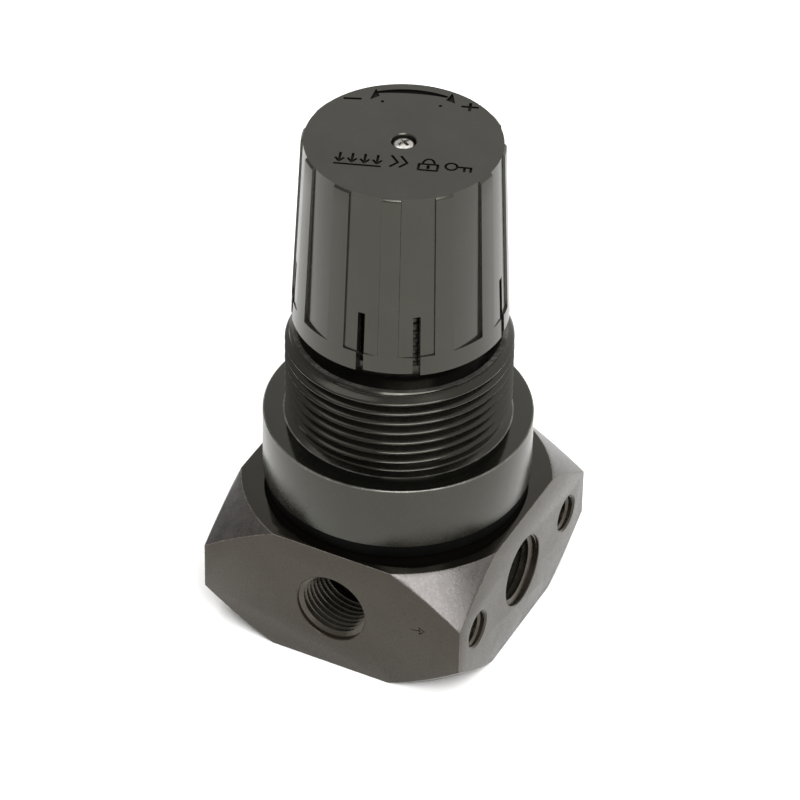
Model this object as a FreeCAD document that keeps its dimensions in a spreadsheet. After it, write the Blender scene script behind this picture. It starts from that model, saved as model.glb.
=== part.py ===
import FreeCAD, Part
import math
import os
import Sketcher

# Miniature pressure regulator for compressed air, with a panel-mounting bonnet and a
# push-to-lock knob.  Millimetres.  +Z is up along the knob's axis, the origin is the centre of
# the body's bottom face, the inlet port faces -Y, the outlet +Y and the gauge ports -X and +X.

DIMS = {
    # small sizes shared by many pieces: broken edges, and how far a cutter runs past a face
    "edge_break": 0.4, "fine_edge": 0.2, "overrun": 1,
    # body block: square bar with both ends turned to a 45 degree cone
    "body_half": 19.05, "body_top": 19, "cone_r": 20.9, "cone_drop": 6.5,
    "boss_r": 16.4, "boss_top": 25.6,
    "chamber_r": 12.6, "chamber_floor": 17.5,
    "valve_bore_r": 5, "seat_shelf": 14.6, "stem_hole_r": 3.2,
    "plug_thread_r": 6.5, "plug_thread_top": 6,
    "port_height": 9.5, "port_r": 4.95, "port_mouth_r": 5.25, "port_depth": 9, "port_tip": 2.4,
    "feed_r": 1.6, "riser_r": 1.2, "riser_offset": 11,
    "fixing_r": 2.5, "fixing_mouth_r": 2.75, "fixing_depth": 8, "fixing_tip": 1.2,
    "fixing_offset": 13.6,
    # black sealing ring between the body and the collar
    "gasket_r": 17.6, "gasket_bore_r": 16.5, "gasket_top": 21.1, "gasket_round": 0.25,
    # bonnet: collar, panel thread, detent neck
    "collar_r": 18, "collar_top": 30.5, "collar_round": 0.35, "collar_bore_r": 16.45,
    "shoulder": 26.9,
    "relief_r": 14.2, "relief_foot_r": 15.2, "relief_corner": 0.45, "relief_top": 31.9,
    "thread_r": 15.08, "thread_foot": 32.6,
    "thread_top": 42.9, "bonnet_top": 43.7, "rim_r": 14.2, "rim_bore_r": 13.3,
    "neck_foot": 43, "neck_r": 11.8, "neck_top": 56, "neck_bore_r": 9.9,
    "web_top": 46, "web_bottom": 42, "spring_room_r": 10.8, "shank_bore_r": 4.58,
    "ring_foot": 46.4, "ring_width": 0.6, "ring_r": 12.15, "ring_pitch": 1.25, "ring_count": 7,
    "key_slot_r": 12.1, "key_slot_width": 3.4, "key_slot_foot": 28.5,
    "lock_notch_foot": 54.6, "lock_notch_width": 1.7, "lock_teeth": 12,
    # knob, modelled with its marked front towards -Y and then turned about Z
    "knob_turn": 20.2, "knob_foot": 46.5, "knob_top": 73.3, "knob_foot_r": 14.3,
    "knob_top_r": 12.81, "knob_edge_r": 13.12, "knob_edge": 72.9, "skirt_bore_r": 12.7,
    "skirt_bore_top_r": 11.9, "knob_ceiling": 70.9,
    "bead_r": 12.35, "bead_foot": 47.1, "bead_top": 48.1,
    "facet_foot": 49.4, "facet_near_depth": 0.06, "facet_front_depth": 0.25,
    "facet_side_depth": 0.62,
    "slot_width": 1, "slot_top": 55.5,
    "lock_ring_r": 11.5, "lock_ring_bore_r": 10.15, "lock_ring_foot": 57.7,
    "lock_tooth_foot": 56.2, "lock_tooth_width": 1.1,
    "socket_boss_r": 6, "socket_foot": 57.5, "socket_flats": 7.16, "counterbore_r": 1.6,
    "counterbore_floor": 71.5, "step_hole_r": 1.15,
    # retaining screw of the knob
    "head_r": 1.36, "head_edge": 72.2, "head_crown": 72.75, "head_crown_r": 0.75,
    "screw_r": 1, "screw_foot": 65, "cross_width": 0.36, "cross_length": 1.7, "cross_floor": 72.1,
    # adjusting screw
    "spindle_thread_r": 4, "spindle_foot": 32.4, "flange_r": 7, "flange_foot": 40.2,
    "flange_top": 41.5, "shank_r": 4.5, "shank_top": 47.5, "hex_flats": 7, "hex_top": 69,
    "washer_bore_r": 4.7, "washer_r": 8.5,
    # spring nut
    "nut_r": 10.4, "nut_foot": 37, "nut_top": 40.1, "nut_bore_r": 4.05, "key_r": 11.8,
    "key_width": 3, "nut_boss_r": 5.8, "nut_pocket_r": 8.3, "nut_pocket_top": 37.8,
    # range spring
    "range_mean_r": 7, "range_wire_r": 0.8, "range_turns": 4.5,
    # diaphragm stack
    "hub_bore_r": 0.7, "hub_neck_r": 2.5, "hub_disc_r": 5.5, "hub_nose_r": 1.8,
    "hub_nose": 21.8, "hub_disc_foot": 22.2, "diaphragm_foot": 23.6, "diaphragm_flat": 24.4,
    "plate_top": 25.4, "plate_r": 8.9, "plate_rib_r": 5.7, "plate_rib_top": 26.2,
    "hub_top": 28, "hub_nut_flats": 8, "hub_nut_top": 27.7,
    "roll_inner_r": 9.3, "roll_outer_r": 12.1,
    "rim_top": 26.4, "rim_outer_r": 15.8, "slip_bore_r": 12.4,
    # valve
    "stem_r": 1.1, "stem_cone": 21.38, "stem_tip": 22.18, "stem_tip_r": 0.3,
    "poppet_r": 3.7, "poppet_foot": 9.6, "poppet_top": 12.1, "cup_r": 3.2, "cup_floor": 10.9,
    "tail_r": 1.5, "tail_foot": 4.7, "tail_groove_r": 0.9, "tail_groove_foot": 5.1,
    "tail_groove_top": 5.8,
    "seat_bore_r": 2.4, "seat_lip_r": 3, "seat_foot": 12.6, "seat_r": 4.95,
    "seat_groove_r": 4, "seat_groove_foot": 13.1, "seat_groove_top": 14.1,
    "valve_spring_mean_r": 2.75, "valve_spring_wire_r": 0.3, "valve_spring_turns": 5.5,
    # bottom plug
    "plug_foot": 0.4, "plug_r": 6.45, "plug_boss_r": 4.9, "plug_boss_top": 8,
    "plug_groove_r": 4, "plug_groove_foot": 6.5, "plug_groove_top": 7.5,
    "plug_pocket_r": 3.3, "plug_pocket_floor": 4.5, "guide_r": 2.2, "guide_top": 7.2,
    "guide_bore_r": 1.55, "guide_floor": 3.6, "plug_socket_flats": 6, "plug_socket_top": 2.8,
}

doc = FreeCAD.newDocument("pressure_regulator")
sheet = doc.addObject("Spreadsheet::Sheet", "dims")
for row, (alias, size) in enumerate(DIMS.items(), start=1):
    sheet.set("A%d" % row, alias)
    sheet.set("B%d" % row, str(size))
    sheet.setAlias("B%d" % row, alias)
doc.recompute()


def amount(terms):
    """Number that a sum such as 'knob_foot + slot_width - 0.5' comes to."""
    total, sign = 0.0, 1.0
    for word in str(terms).split():
        if word in "+-":
            sign = 1.0 if word == "+" else -1.0
        else:
            total += sign * float(DIMS[word] if word in DIMS else word)
    return total


def formula(terms):
    """The same sum written for the expression engine."""
    return " ".join("dims." + word if word in DIMS else word for word in str(terms).split())


def less(terms, taken):
    """The sum with another sum taken away from it."""
    flipped = {"+": "-", "-": "+"}
    return terms + " - " + " ".join(flipped.get(word, word) for word in taken.split())


def new_body(label):
    body = doc.addObject("PartDesign::Body", label)
    body.Label = label
    return body


def origin_part(body, role):
    return [item for item in body.Origin.OriginFeatures if item.Role == role][0]


def attach(feature, body, plane, shift=None, turn=0.0):
    """Puts a feature on one of its body's own planes, shifted from it and turned on it."""
    feature.AttachmentSupport = [(origin_part(body, plane), "")]
    feature.MapMode = "FlatFace"
    feature.AttachmentOffset = FreeCAD.Placement(
        FreeCAD.Vector(), FreeCAD.Rotation(FreeCAD.Vector(0, 0, 1), turn))
    for direction, expression in (shift or {}).items():
        feature.setExpression("AttachmentOffset.Base." + direction, expression)


def new_sketch(body, plane, outline, shift=None, turn=0.0):
    """Closed straight-sided outline whose corners are all bound to the sheet."""
    sketch = body.newObject("Sketcher::SketchObject", body.Name + "_sketch")
    attach(sketch, body, plane, shift, turn)
    corners = [FreeCAD.Vector(amount(across), amount(up), 0) for across, up in outline]
    count = len(corners)
    for index in range(count):
        sketch.addGeometry(Part.LineSegment(corners[index], corners[(index + 1) % count]), False)
    for index in range(count):
        sketch.addConstraint(Sketcher.Constraint("Coincident", index, 2, (index + 1) % count, 1))
    for index, corner in enumerate(outline):
        for kind, axis_line, terms in (("DistanceX", -2, corner[0]), ("DistanceY", -1, corner[1])):
            value = amount(terms)
            if value == 0:
                sketch.addConstraint(Sketcher.Constraint("PointOnObject", index, 1, axis_line))
            else:
                number = sketch.addConstraint(Sketcher.Constraint(kind, index, 1, value))
                sketch.setExpression("Constraints[%d]" % number, formula(terms))
    return sketch


def revolve(body, outline, kind="Revolution", plane="XZ_Plane", axis="V_Axis", shift=None):
    """Turns an outline of (radius, height) corners about the sketch's own axis."""
    sketch = new_sketch(body, plane, outline, shift)
    feature = body.newObject("PartDesign::" + kind, body.Name + "_" + kind.lower())
    feature.Profile = sketch
    feature.ReferenceAxis = (sketch, [axis])
    feature.Angle = 360
    return feature


def turned(label, outline):
    body = new_body(label)
    revolve(body, outline)
    return body


def cut_turned(body, outline, **where):
    return revolve(body, outline, "Groove", **where)


def primitive(body, kind, sizes, plane="XY_Plane", shift=None, turn=0.0):
    """PartDesign primitive, such as SubtractiveBox, with its sizes bound to the sheet."""
    feature = body.newObject("PartDesign::" + kind, body.Name + "_" + kind.lower())
    attach(feature, body, plane, shift, turn)
    for field, terms in sizes.items():
        feature.setExpression(field, formula(terms))
    return feature


def prism(body, kind, flats, foot, top):
    """Six-sided prism, given by the distance across its flats."""
    feature = primitive(body, kind, {"Height": less(top, foot)}, shift={"z": formula(foot)})
    feature.Polygon = 6
    feature.setExpression("Circumradius", "dims.%s / sqrt(3)" % flats)
    return feature


def polar(body, features, count):
    pattern = body.newObject("PartDesign::PolarPattern", body.Name + "_polar")
    pattern.Originals = features
    pattern.Axis = (origin_part(body, "Z_Axis"), [""])
    pattern.Angle = 360
    pattern.Occurrences = int(count)
    body.Tip = pattern
    return pattern


def radial_box(body, kind, width, foot, top, reach, start="0"):
    """Bar of the given width that runs outwards along X, from start to reach."""
    return primitive(body, kind,
                     {"Length": less(reach, start), "Width": width, "Height": less(top, foot)},
                     shift={"x": formula(start), "y": "-dims.%s / 2" % width,
                            "z": formula(foot)})


def turn_about_z(body):
    """Turns a finished body to the angle at which the knob's marked front stands."""
    body.Placement = FreeCAD.Placement(
        FreeCAD.Vector(), FreeCAD.Rotation(FreeCAD.Vector(0, 0, 1), sheet.knob_turn))


# ---------------------------------------------------------------- body block
def tapped_hole(body, size, shift, count):
    """Blind holes into the side faces: countersunk mouth, thread's bore and drill's point."""
    mouth, bore, depth, tip = (size + end for end in ("_mouth_r", "_r", "_depth", "_tip"))
    hole = cut_turned(body, [
        ("body_half + overrun", "0"), ("body_half + overrun", mouth), ("body_half", mouth),
        ("body_half - %s + %s" % (mouth, bore), bore), ("body_half - " + depth, bore),
        ("body_half - %s - %s" % (depth, tip), "0")],
        plane="XY_Plane", axis="H_Axis", shift=shift)
    doc.recompute()
    polar(body, [hole], count)


def make_body_block():
    body = new_body("body_block")
    bar = primitive(body, "AdditiveBox",
                    {"Length": "body_half + body_half", "Width": "body_half + body_half",
                     "Height": "body_top"}, shift={"x": "-dims.body_half", "y": "-dims.body_half"})
    doc.recompute()
    for face, below in (("body_top", "body_top - cone_drop"), ("0", "cone_drop")):
        cut_turned(body, [("cone_r", face), ("cone_r + cone_drop", face),
                          ("cone_r + cone_drop", below)])
    doc.recompute()
    if body.Shape.Volume >= bar.Shape.Volume:
        raise ValueError("the corner cones cut nothing")
    # threaded boss that the bonnet's collar screws onto, with the upper chamber inside it
    revolve(body, [("0", "body_top - overrun"), ("boss_r", "body_top - overrun"),
                   ("boss_r", "boss_top - edge_break"), ("boss_r - edge_break", "boss_top"),
                   ("0", "boss_top")])
    cut_turned(body, [("0", "chamber_floor"), ("chamber_r", "chamber_floor"),
                      ("chamber_r", "boss_top + overrun"), ("0", "boss_top + overrun")])
    # plug thread, valve bore, shelf for the seat and the stem's hole, from the bottom up
    cut_turned(body, [("0", "0 - overrun"), ("plug_thread_r", "0 - overrun"),
                      ("plug_thread_r", "plug_thread_top"), ("valve_bore_r", "plug_thread_top"),
                      ("valve_bore_r", "seat_shelf"), ("stem_hole_r", "seat_shelf"),
                      ("stem_hole_r", "chamber_floor + overrun"), ("0", "chamber_floor + overrun")])
    tapped_hole(body, "port", {"z": "dims.port_height"}, 4)
    # feed drilling from the inlet into the valve bore, and three risers to the upper chamber
    primitive(body, "SubtractiveCylinder", {"Radius": "feed_r", "Height": "port_depth"},
              plane="XZ_Plane",
              shift={"y": "dims.port_height", "z": "dims.valve_bore_r - dims.overrun"})
    for across, along in ((0, 1), (-1, 0), (1, 0)):
        primitive(body, "SubtractiveCylinder",
                  {"Radius": "riser_r", "Height": "chamber_floor - port_height + overrun"},
                  shift={"x": "%d * dims.riser_offset" % across,
                         "y": "%d * dims.riser_offset" % along, "z": "dims.port_height"})
    for side in (-1, 1):
        tapped_hole(body, "fixing", {"y": "%d * dims.fixing_offset" % side,
                                     "z": "dims.port_height"}, 2)
    return body


# ---------------------------------------------------------------- bonnet
def make_bonnet():
    body = turned("bonnet", [
        ("collar_bore_r", "gasket_top"), ("collar_r - collar_round", "gasket_top"),
        ("collar_r", "gasket_top + collar_round"), ("collar_r", "collar_top - fine_edge"),
        ("collar_r - fine_edge", "collar_top"), ("relief_foot_r", "collar_top"),
        ("relief_r", "collar_top + relief_corner"), ("relief_r", "relief_top"),
        ("thread_r", "thread_foot"), ("thread_r", "thread_top"),
        ("rim_r", "bonnet_top"), ("rim_bore_r", "bonnet_top"), ("rim_bore_r - edge_break", "neck_foot"),
        ("neck_r", "neck_foot"), ("neck_r", "neck_top"), ("neck_bore_r", "neck_top"),
        ("neck_bore_r", "web_top"), ("shank_bore_r", "web_top"), ("shank_bore_r", "web_bottom"),
        ("spring_room_r", "web_bottom"), ("spring_room_r", "shoulder"),
        ("collar_bore_r", "shoulder")])
    ring = revolve(body, [("neck_r - fine_edge", "ring_foot"), ("neck_r", "ring_foot"),
                          ("ring_r", "ring_foot + fine_edge"),
                          ("ring_r", "ring_foot + ring_width - fine_edge"),
                          ("neck_r", "ring_foot + ring_width"),
                          ("neck_r - fine_edge", "ring_foot + ring_width")])
    doc.recompute()
    stack = body.newObject("PartDesign::LinearPattern", "detent_rings")
    stack.Originals = [ring]
    stack.Direction = (origin_part(body, "Z_Axis"), [""])
    stack.setExpression("Length", "dims.ring_pitch * (dims.ring_count - 1)")
    stack.Occurrences = int(sheet.ring_count)
    body.Tip = stack
    key_slot = radial_box(body, "SubtractiveBox", "key_slot_width", "key_slot_foot", "web_bottom",
                          "key_slot_r")
    doc.recompute()
    polar(body, [key_slot], 2)
    notch = radial_box(body, "SubtractiveBox", "lock_notch_width", "lock_notch_foot",
                       "neck_top", "neck_r + overrun", start="neck_bore_r - overrun")
    doc.recompute()
    polar(body, [notch], DIMS["lock_teeth"])
    turn_about_z(body)
    return body


# ---------------------------------------------------------------- knob
FACET_FAR_DEPTHS = {15: "facet_front_depth", 45: "facet_side_depth", 75: "facet_side_depth"}
FACET_HALF_WIDTH = 9.5
FACET_REACH = 1.5


def facet_outline(angle, mirror, skin_r, inner_depth, outer_depth):
    """Corners of one facet's cut: flush near the front-back axis, deep on the side away."""
    def corner(radius, degrees):
        turn = math.radians(degrees)
        return ("%.6f" % (mirror * radius * math.sin(turn)), "%.6f" % (-radius * math.cos(turn)))
    near, far = angle - FACET_HALF_WIDTH, angle + FACET_HALF_WIDTH
    return [corner(skin_r - inner_depth, near), corner(skin_r - outer_depth, far),
            corner(skin_r + FACET_REACH, far), corner(skin_r + FACET_REACH, near)]


def make_knob():
    body = turned("knob", [
        ("skirt_bore_r", "knob_foot"), ("knob_foot_r", "knob_foot"),
        ("knob_edge_r", "knob_edge"), ("knob_top_r", "knob_top"), ("0", "knob_top"),
        ("0", "knob_ceiling"), ("lock_ring_bore_r", "knob_ceiling"),
        ("lock_ring_bore_r", "lock_ring_foot"), ("lock_ring_r", "lock_ring_foot"),
        ("skirt_bore_top_r", "lock_ring_foot + overrun"), ("skirt_bore_r", "lock_ring_foot"),
        ("skirt_bore_r", "bead_top + edge_break"), ("bead_r", "bead_top"),
        ("bead_r", "bead_foot"), ("skirt_bore_r", "bead_foot - edge_break")])
    revolve(body, [("0", "socket_foot"), ("socket_boss_r", "socket_foot"),
                   ("socket_boss_r", "knob_ceiling + edge_break"),
                   ("0", "knob_ceiling + edge_break")])
    prism(body, "SubtractivePrism", "socket_flats", "socket_foot", "knob_ceiling")
    cut_turned(body, [("0", "counterbore_floor"), ("counterbore_r", "counterbore_floor"),
                      ("counterbore_r", "knob_top + overrun"), ("0", "knob_top + overrun")])
    cut_turned(body, [("0", "knob_ceiling - overrun"), ("step_hole_r", "knob_ceiling - overrun"),
                      ("step_hole_r", "counterbore_floor + edge_break"),
                      ("0", "counterbore_floor + edge_break")])
    doc.recompute()
    whole = body.Shape.Volume
    # twelve flat facets between ribs, cut down to a ledge just above the skirt's edge
    taper = (DIMS["knob_foot_r"] - DIMS["knob_edge_r"]) / (DIMS["knob_edge"] - DIMS["knob_foot"])
    ledge_r = DIMS["knob_foot_r"] - taper * (DIMS["facet_foot"] - DIMS["knob_foot"])
    crown_r = DIMS["knob_top_r"]
    for angle, far_depth in FACET_FAR_DEPTHS.items():
        for front in (0, 180):
            for mirror in (-1, 1):
                low = new_sketch(body, "XY_Plane",
                                 facet_outline(angle, mirror, ledge_r, DIMS["facet_near_depth"],
                                               DIMS[far_depth]),
                                 shift={"z": "dims.facet_foot"}, turn=front)
                high = new_sketch(body, "XY_Plane",
                                  facet_outline(angle, mirror, crown_r, 0, 0),
                                  shift={"z": "dims.knob_top + dims.fine_edge"}, turn=front)
                facet = body.newObject("PartDesign::SubtractiveLoft", "facet")
                facet.Profile = low
                facet.Sections = [high]
                facet.Ruled = True
    doc.recompute()
    if body.Shape.Volume >= whole:
        raise ValueError("the facets cut nothing")
    # eight slots free four snap fingers; the slots stand 15 degrees each side of the axes
    for side in (-15, 15):
        slot = primitive(body, "SubtractiveBox",
                         {"Length": "slot_width", "Width": "knob_foot_r + overrun",
                          "Height": "slot_top - knob_foot + overrun"}, turn=side,
                         shift={"x": "-dims.slot_width / 2 * cos(%d deg)" % side,
                                "y": "-dims.slot_width / 2 * sin(%d deg)" % side,
                                "z": "dims.knob_foot - dims.overrun"})
        doc.recompute()
        polar(body, [slot], 4)
    tooth = radial_box(body, "AdditiveBox", "lock_tooth_width", "lock_tooth_foot",
                       "lock_ring_foot + fine_edge", "lock_ring_r",
                       start="lock_ring_bore_r + fine_edge")
    doc.recompute()
    polar(body, [tooth], DIMS["lock_teeth"])
    turn_about_z(body)
    return body


def make_knob_screw():
    body = turned("knob_screw", [
        ("0", "screw_foot"), ("screw_r - edge_break", "screw_foot"),
        ("screw_r", "screw_foot + edge_break"), ("screw_r", "counterbore_floor"),
        ("head_r", "counterbore_floor"), ("head_r", "head_edge"),
        ("head_crown_r + edge_break", "head_crown - fine_edge"), ("head_crown_r", "head_crown"),
        ("0", "head_crown")])
    bar = primitive(body, "SubtractiveBox", {"Length": "cross_length", "Width": "cross_width",
                                             "Height": "head_crown - cross_floor + overrun"},
                    shift={"x": "-dims.cross_length / 2", "y": "-dims.cross_width / 2",
                           "z": "dims.cross_floor"})
    doc.recompute()
    polar(body, [bar], 4)
    turn_about_z(body)
    return body


# ---------------------------------------------------------------- adjusting screw and nut
def make_adjusting_screw():
    body = turned("adjusting_screw", [
        ("0", "spindle_foot"), ("spindle_thread_r - edge_break", "spindle_foot"),
        ("spindle_thread_r", "spindle_foot + edge_break"), ("spindle_thread_r", "flange_foot"),
        ("flange_r", "flange_foot"), ("flange_r", "flange_top"), ("shank_r", "flange_top"),
        ("shank_r", "shank_top"), ("0", "shank_top")])
    prism(body, "AdditivePrism", "hex_flats", "shank_top", "hex_top")
    cut_turned(body, [("0", "screw_foot - overrun"), ("screw_r", "screw_foot - edge_break"),
                      ("screw_r", "hex_top + overrun"), ("0", "hex_top + overrun")])
    turn_about_z(body)
    return body


def make_spring_nut():
    body = turned("spring_nut", [
        ("nut_bore_r", "nut_foot"), ("nut_boss_r", "nut_foot"),
        ("nut_boss_r", "nut_pocket_top"), ("nut_pocket_r", "nut_pocket_top"),
        ("nut_pocket_r", "nut_foot"), ("nut_r", "nut_foot"), ("nut_r", "nut_top"),
        ("nut_bore_r", "nut_top")])
    key = radial_box(body, "AdditiveBox", "key_width", "nut_foot", "nut_top", "key_r",
                     start="nut_r - overrun")
    doc.recompute()
    polar(body, [key], 2)
    turn_about_z(body)
    return body


def make_hub_nut():
    body = new_body("hub_nut")
    prism(body, "AdditivePrism", "hub_nut_flats", "plate_rib_top", "hub_nut_top")
    cut_turned(body, [("0", "plate_rib_top - overrun"), ("hub_neck_r", "plate_rib_top - overrun"),
                      ("hub_neck_r", "hub_nut_top + overrun"), ("0", "hub_nut_top + overrun")])
    return body


# ---------------------------------------------------------------- springs and rings
def make_spring(label, mean_r, wire_r, turns, foot, top):
    """Round-wire spring whose end turns rest on its two seats."""
    height = less(less(top, foot), wire_r + " + " + wire_r)
    start = amount(foot) + amount(wire_r)
    path = doc.addObject("Part::Helix", label + "_path")
    path.setExpression("Radius", formula(mean_r))
    path.setExpression("Height", formula(height))
    path.setExpression("Pitch", "(%s) / dims.%s" % (formula(height), turns))
    path.Placement = FreeCAD.Placement(FreeCAD.Vector(0, 0, start), FreeCAD.Rotation())
    wire = doc.addObject("Part::Circle", label + "_section")
    wire.setExpression("Radius", formula(wire_r))
    wire.Placement = FreeCAD.Placement(FreeCAD.Vector(amount(mean_r), 0, start),
                                       FreeCAD.Rotation(FreeCAD.Vector(1, 0, 0), 90))
    spring = doc.addObject("Part::Sweep", label)
    spring.Label = label
    spring.Sections = [wire]
    spring.Spine = (path, [])
    spring.Solid = True
    spring.Frenet = True
    return spring


def groove_ring(label, groove_r, bore_r, foot, top):
    """O-ring that fills a groove from its floor out to the bore around it."""
    ring = doc.addObject("Part::Torus", label)
    ring.Label = label
    ring.setExpression("Radius1", "(dims.%s + dims.%s) / 2" % (groove_r, bore_r))
    ring.setExpression("Radius2", "(dims.%s - dims.%s) / 2" % (bore_r, groove_r))
    ring.setExpression("Placement.Base.z", "(dims.%s + dims.%s) / 2" % (foot, top))
    return ring


def make_bottom_plug():
    body = turned("bottom_plug", [
        ("0", "plug_foot"), ("plug_r - edge_break", "plug_foot"),
        ("plug_r", "plug_foot + edge_break"),
        ("plug_r", "plug_thread_top"), ("plug_boss_r", "plug_thread_top"),
        ("plug_boss_r", "plug_groove_foot"), ("plug_groove_r", "plug_groove_foot"),
        ("plug_groove_r", "plug_groove_top"), ("plug_boss_r", "plug_groove_top"),
        ("plug_boss_r", "plug_boss_top"), ("plug_pocket_r", "plug_boss_top"),
        ("plug_pocket_r", "plug_pocket_floor"), ("guide_r", "plug_pocket_floor"),
        ("guide_r", "guide_top"), ("guide_bore_r", "guide_top"), ("guide_bore_r", "guide_floor"),
        ("0", "guide_floor")])
    prism(body, "SubtractivePrism", "plug_socket_flats", "plug_foot", "plug_socket_top")
    return body


# ---------------------------------------------------------------- everything, from the top down
def make_parts():
    return [
        make_knob(),
        make_knob_screw(),
        make_adjusting_screw(),
        make_spring_nut(),
        make_bonnet(),
        make_body_block(),
        turned("thrust_washer", [("washer_bore_r", "flange_top"), ("washer_r", "flange_top"),
                                 ("washer_r", "web_bottom"), ("washer_bore_r", "web_bottom")]),
        make_spring("range_spring", "range_mean_r", "range_wire_r", "range_turns",
                    "plate_top", "nut_pocket_top"),
        make_hub_nut(),
        turned("diaphragm_plate", [
            ("hub_neck_r", "diaphragm_flat"), ("plate_r", "diaphragm_flat"),
            ("plate_r", "plate_top"), ("plate_rib_r", "plate_top"),
            ("plate_rib_r", "plate_rib_top"), ("hub_neck_r", "plate_rib_top")]),
        turned("diaphragm", [
            ("hub_neck_r", "diaphragm_foot"), ("roll_inner_r + edge_break", "diaphragm_foot"),
            ("roll_outer_r", "boss_top"), ("rim_outer_r", "boss_top"), ("rim_outer_r", "rim_top"),
            ("roll_outer_r - edge_break", "rim_top"), ("roll_inner_r", "diaphragm_flat"),
            ("hub_neck_r", "diaphragm_flat")]),
        turned("relief_hub", [
            ("hub_bore_r", "hub_nose"), ("hub_nose_r", "hub_nose"),
            ("hub_nose_r", "hub_disc_foot"), ("hub_disc_r", "hub_disc_foot"),
            ("hub_disc_r", "diaphragm_foot"), ("hub_neck_r", "diaphragm_foot"),
            ("hub_neck_r", "hub_top"), ("hub_bore_r", "hub_top")]),
        turned("slip_ring", [("slip_bore_r", "rim_top"), ("rim_outer_r", "rim_top"),
                             ("rim_outer_r", "shoulder"), ("slip_bore_r", "shoulder")]),
        turned("bonnet_gasket", [
            ("gasket_bore_r", "body_top"), ("gasket_r - gasket_round", "body_top"),
            ("gasket_r", "body_top + gasket_round"), ("gasket_r", "gasket_top - gasket_round"),
            ("gasket_r - gasket_round", "gasket_top"), ("gasket_bore_r", "gasket_top")]),
        turned("valve_seat", [
            ("seat_bore_r", "poppet_top"), ("seat_lip_r", "poppet_top"), ("seat_lip_r", "seat_foot"),
            ("seat_r", "seat_foot"), ("seat_r", "seat_groove_foot"),
            ("seat_groove_r", "seat_groove_foot"), ("seat_groove_r", "seat_groove_top"),
            ("seat_r", "seat_groove_top"), ("seat_r", "seat_shelf"), ("seat_bore_r", "seat_shelf")]),
        groove_ring("seat_o_ring", "seat_groove_r", "valve_bore_r", "seat_groove_foot",
                    "seat_groove_top"),
        turned("valve_stem", [
            ("0", "tail_foot"), ("tail_r", "tail_foot"), ("tail_r", "tail_groove_foot"),
            ("tail_groove_r", "tail_groove_foot"), ("tail_groove_r", "tail_groove_top"),
            ("tail_r", "tail_groove_top"), ("tail_r", "poppet_foot"), ("poppet_r", "poppet_foot"),
            ("poppet_r", "poppet_top"), ("cup_r", "poppet_top"), ("cup_r", "cup_floor"),
            ("stem_r", "cup_floor"), ("stem_r", "stem_cone"), ("stem_tip_r", "stem_tip"),
            ("0", "stem_tip")]),
        turned("poppet_disc", [("stem_r", "cup_floor"), ("cup_r", "cup_floor"),
                               ("cup_r", "poppet_top"), ("stem_r", "poppet_top")]),
        groove_ring("tail_o_ring", "tail_groove_r", "guide_bore_r", "tail_groove_foot",
                    "tail_groove_top"),
        make_spring("valve_spring", "valve_spring_mean_r", "valve_spring_wire_r",
                    "valve_spring_turns", "plug_pocket_floor", "poppet_foot"),
        make_bottom_plug(),
        groove_ring("plug_o_ring", "plug_groove_r", "valve_bore_r", "plug_groove_foot",
                    "plug_groove_top"),
    ]


def check(parts):
    for item in doc.Objects:
        if "Invalid" in item.State or "Error" in item.State:
            raise ValueError("%s did not recompute: %s" % (item.Name, item.State))
    for item in parts:
        if item.Shape.isNull() or not item.Shape.isValid() or item.Shape.Volume <= 0:
            raise ValueError("%s has no sound shape" % item.Label)


PARTS = make_parts()
doc.recompute()
check(PARTS)
os.makedirs("parts", exist_ok=True)
for part in PARTS:
    part.Shape.exportStep("parts/%s.step" % part.Label)
    print("%-18s %8.1f mm3  %d solid" % (part.Label, part.Shape.Volume, len(part.Shape.Solids)))
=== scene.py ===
import math

import bmesh
import bpy
from mathutils import Matrix, Vector


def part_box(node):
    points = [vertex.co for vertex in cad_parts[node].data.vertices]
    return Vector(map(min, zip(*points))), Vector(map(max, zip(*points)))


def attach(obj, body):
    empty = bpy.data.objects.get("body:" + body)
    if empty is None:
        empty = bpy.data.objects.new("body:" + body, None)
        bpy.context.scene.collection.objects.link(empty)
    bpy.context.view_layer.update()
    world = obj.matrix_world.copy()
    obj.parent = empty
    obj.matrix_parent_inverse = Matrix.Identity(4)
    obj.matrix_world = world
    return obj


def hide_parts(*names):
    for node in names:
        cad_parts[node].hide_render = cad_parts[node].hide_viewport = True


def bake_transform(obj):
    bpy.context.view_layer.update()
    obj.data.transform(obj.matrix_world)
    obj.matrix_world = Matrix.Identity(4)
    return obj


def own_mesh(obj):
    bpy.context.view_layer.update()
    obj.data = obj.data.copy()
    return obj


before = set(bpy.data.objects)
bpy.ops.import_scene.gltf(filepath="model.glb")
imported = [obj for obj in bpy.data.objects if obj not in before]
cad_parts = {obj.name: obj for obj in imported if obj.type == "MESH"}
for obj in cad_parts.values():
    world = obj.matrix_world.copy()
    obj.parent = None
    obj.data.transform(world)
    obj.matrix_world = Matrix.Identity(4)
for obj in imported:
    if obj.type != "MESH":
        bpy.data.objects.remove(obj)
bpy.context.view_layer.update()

# Looks of a miniature pressure regulator: black anodised bar body and bonnet, moulded knob.
# Shapes are worked out in millimetres and turned into metres when a mesh is finished.
MM = 0.001


def limits(node):
    """Lowest and highest corner of a designed piece, in millimetres."""
    low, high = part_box(node)
    return low / MM, high / MM


body_low, body_high = limits("body_block")
bonnet_low, bonnet_high = limits("bonnet")
gasket_low, gasket_high = limits("bonnet_gasket")
knob_low, knob_high = limits("knob")

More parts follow.
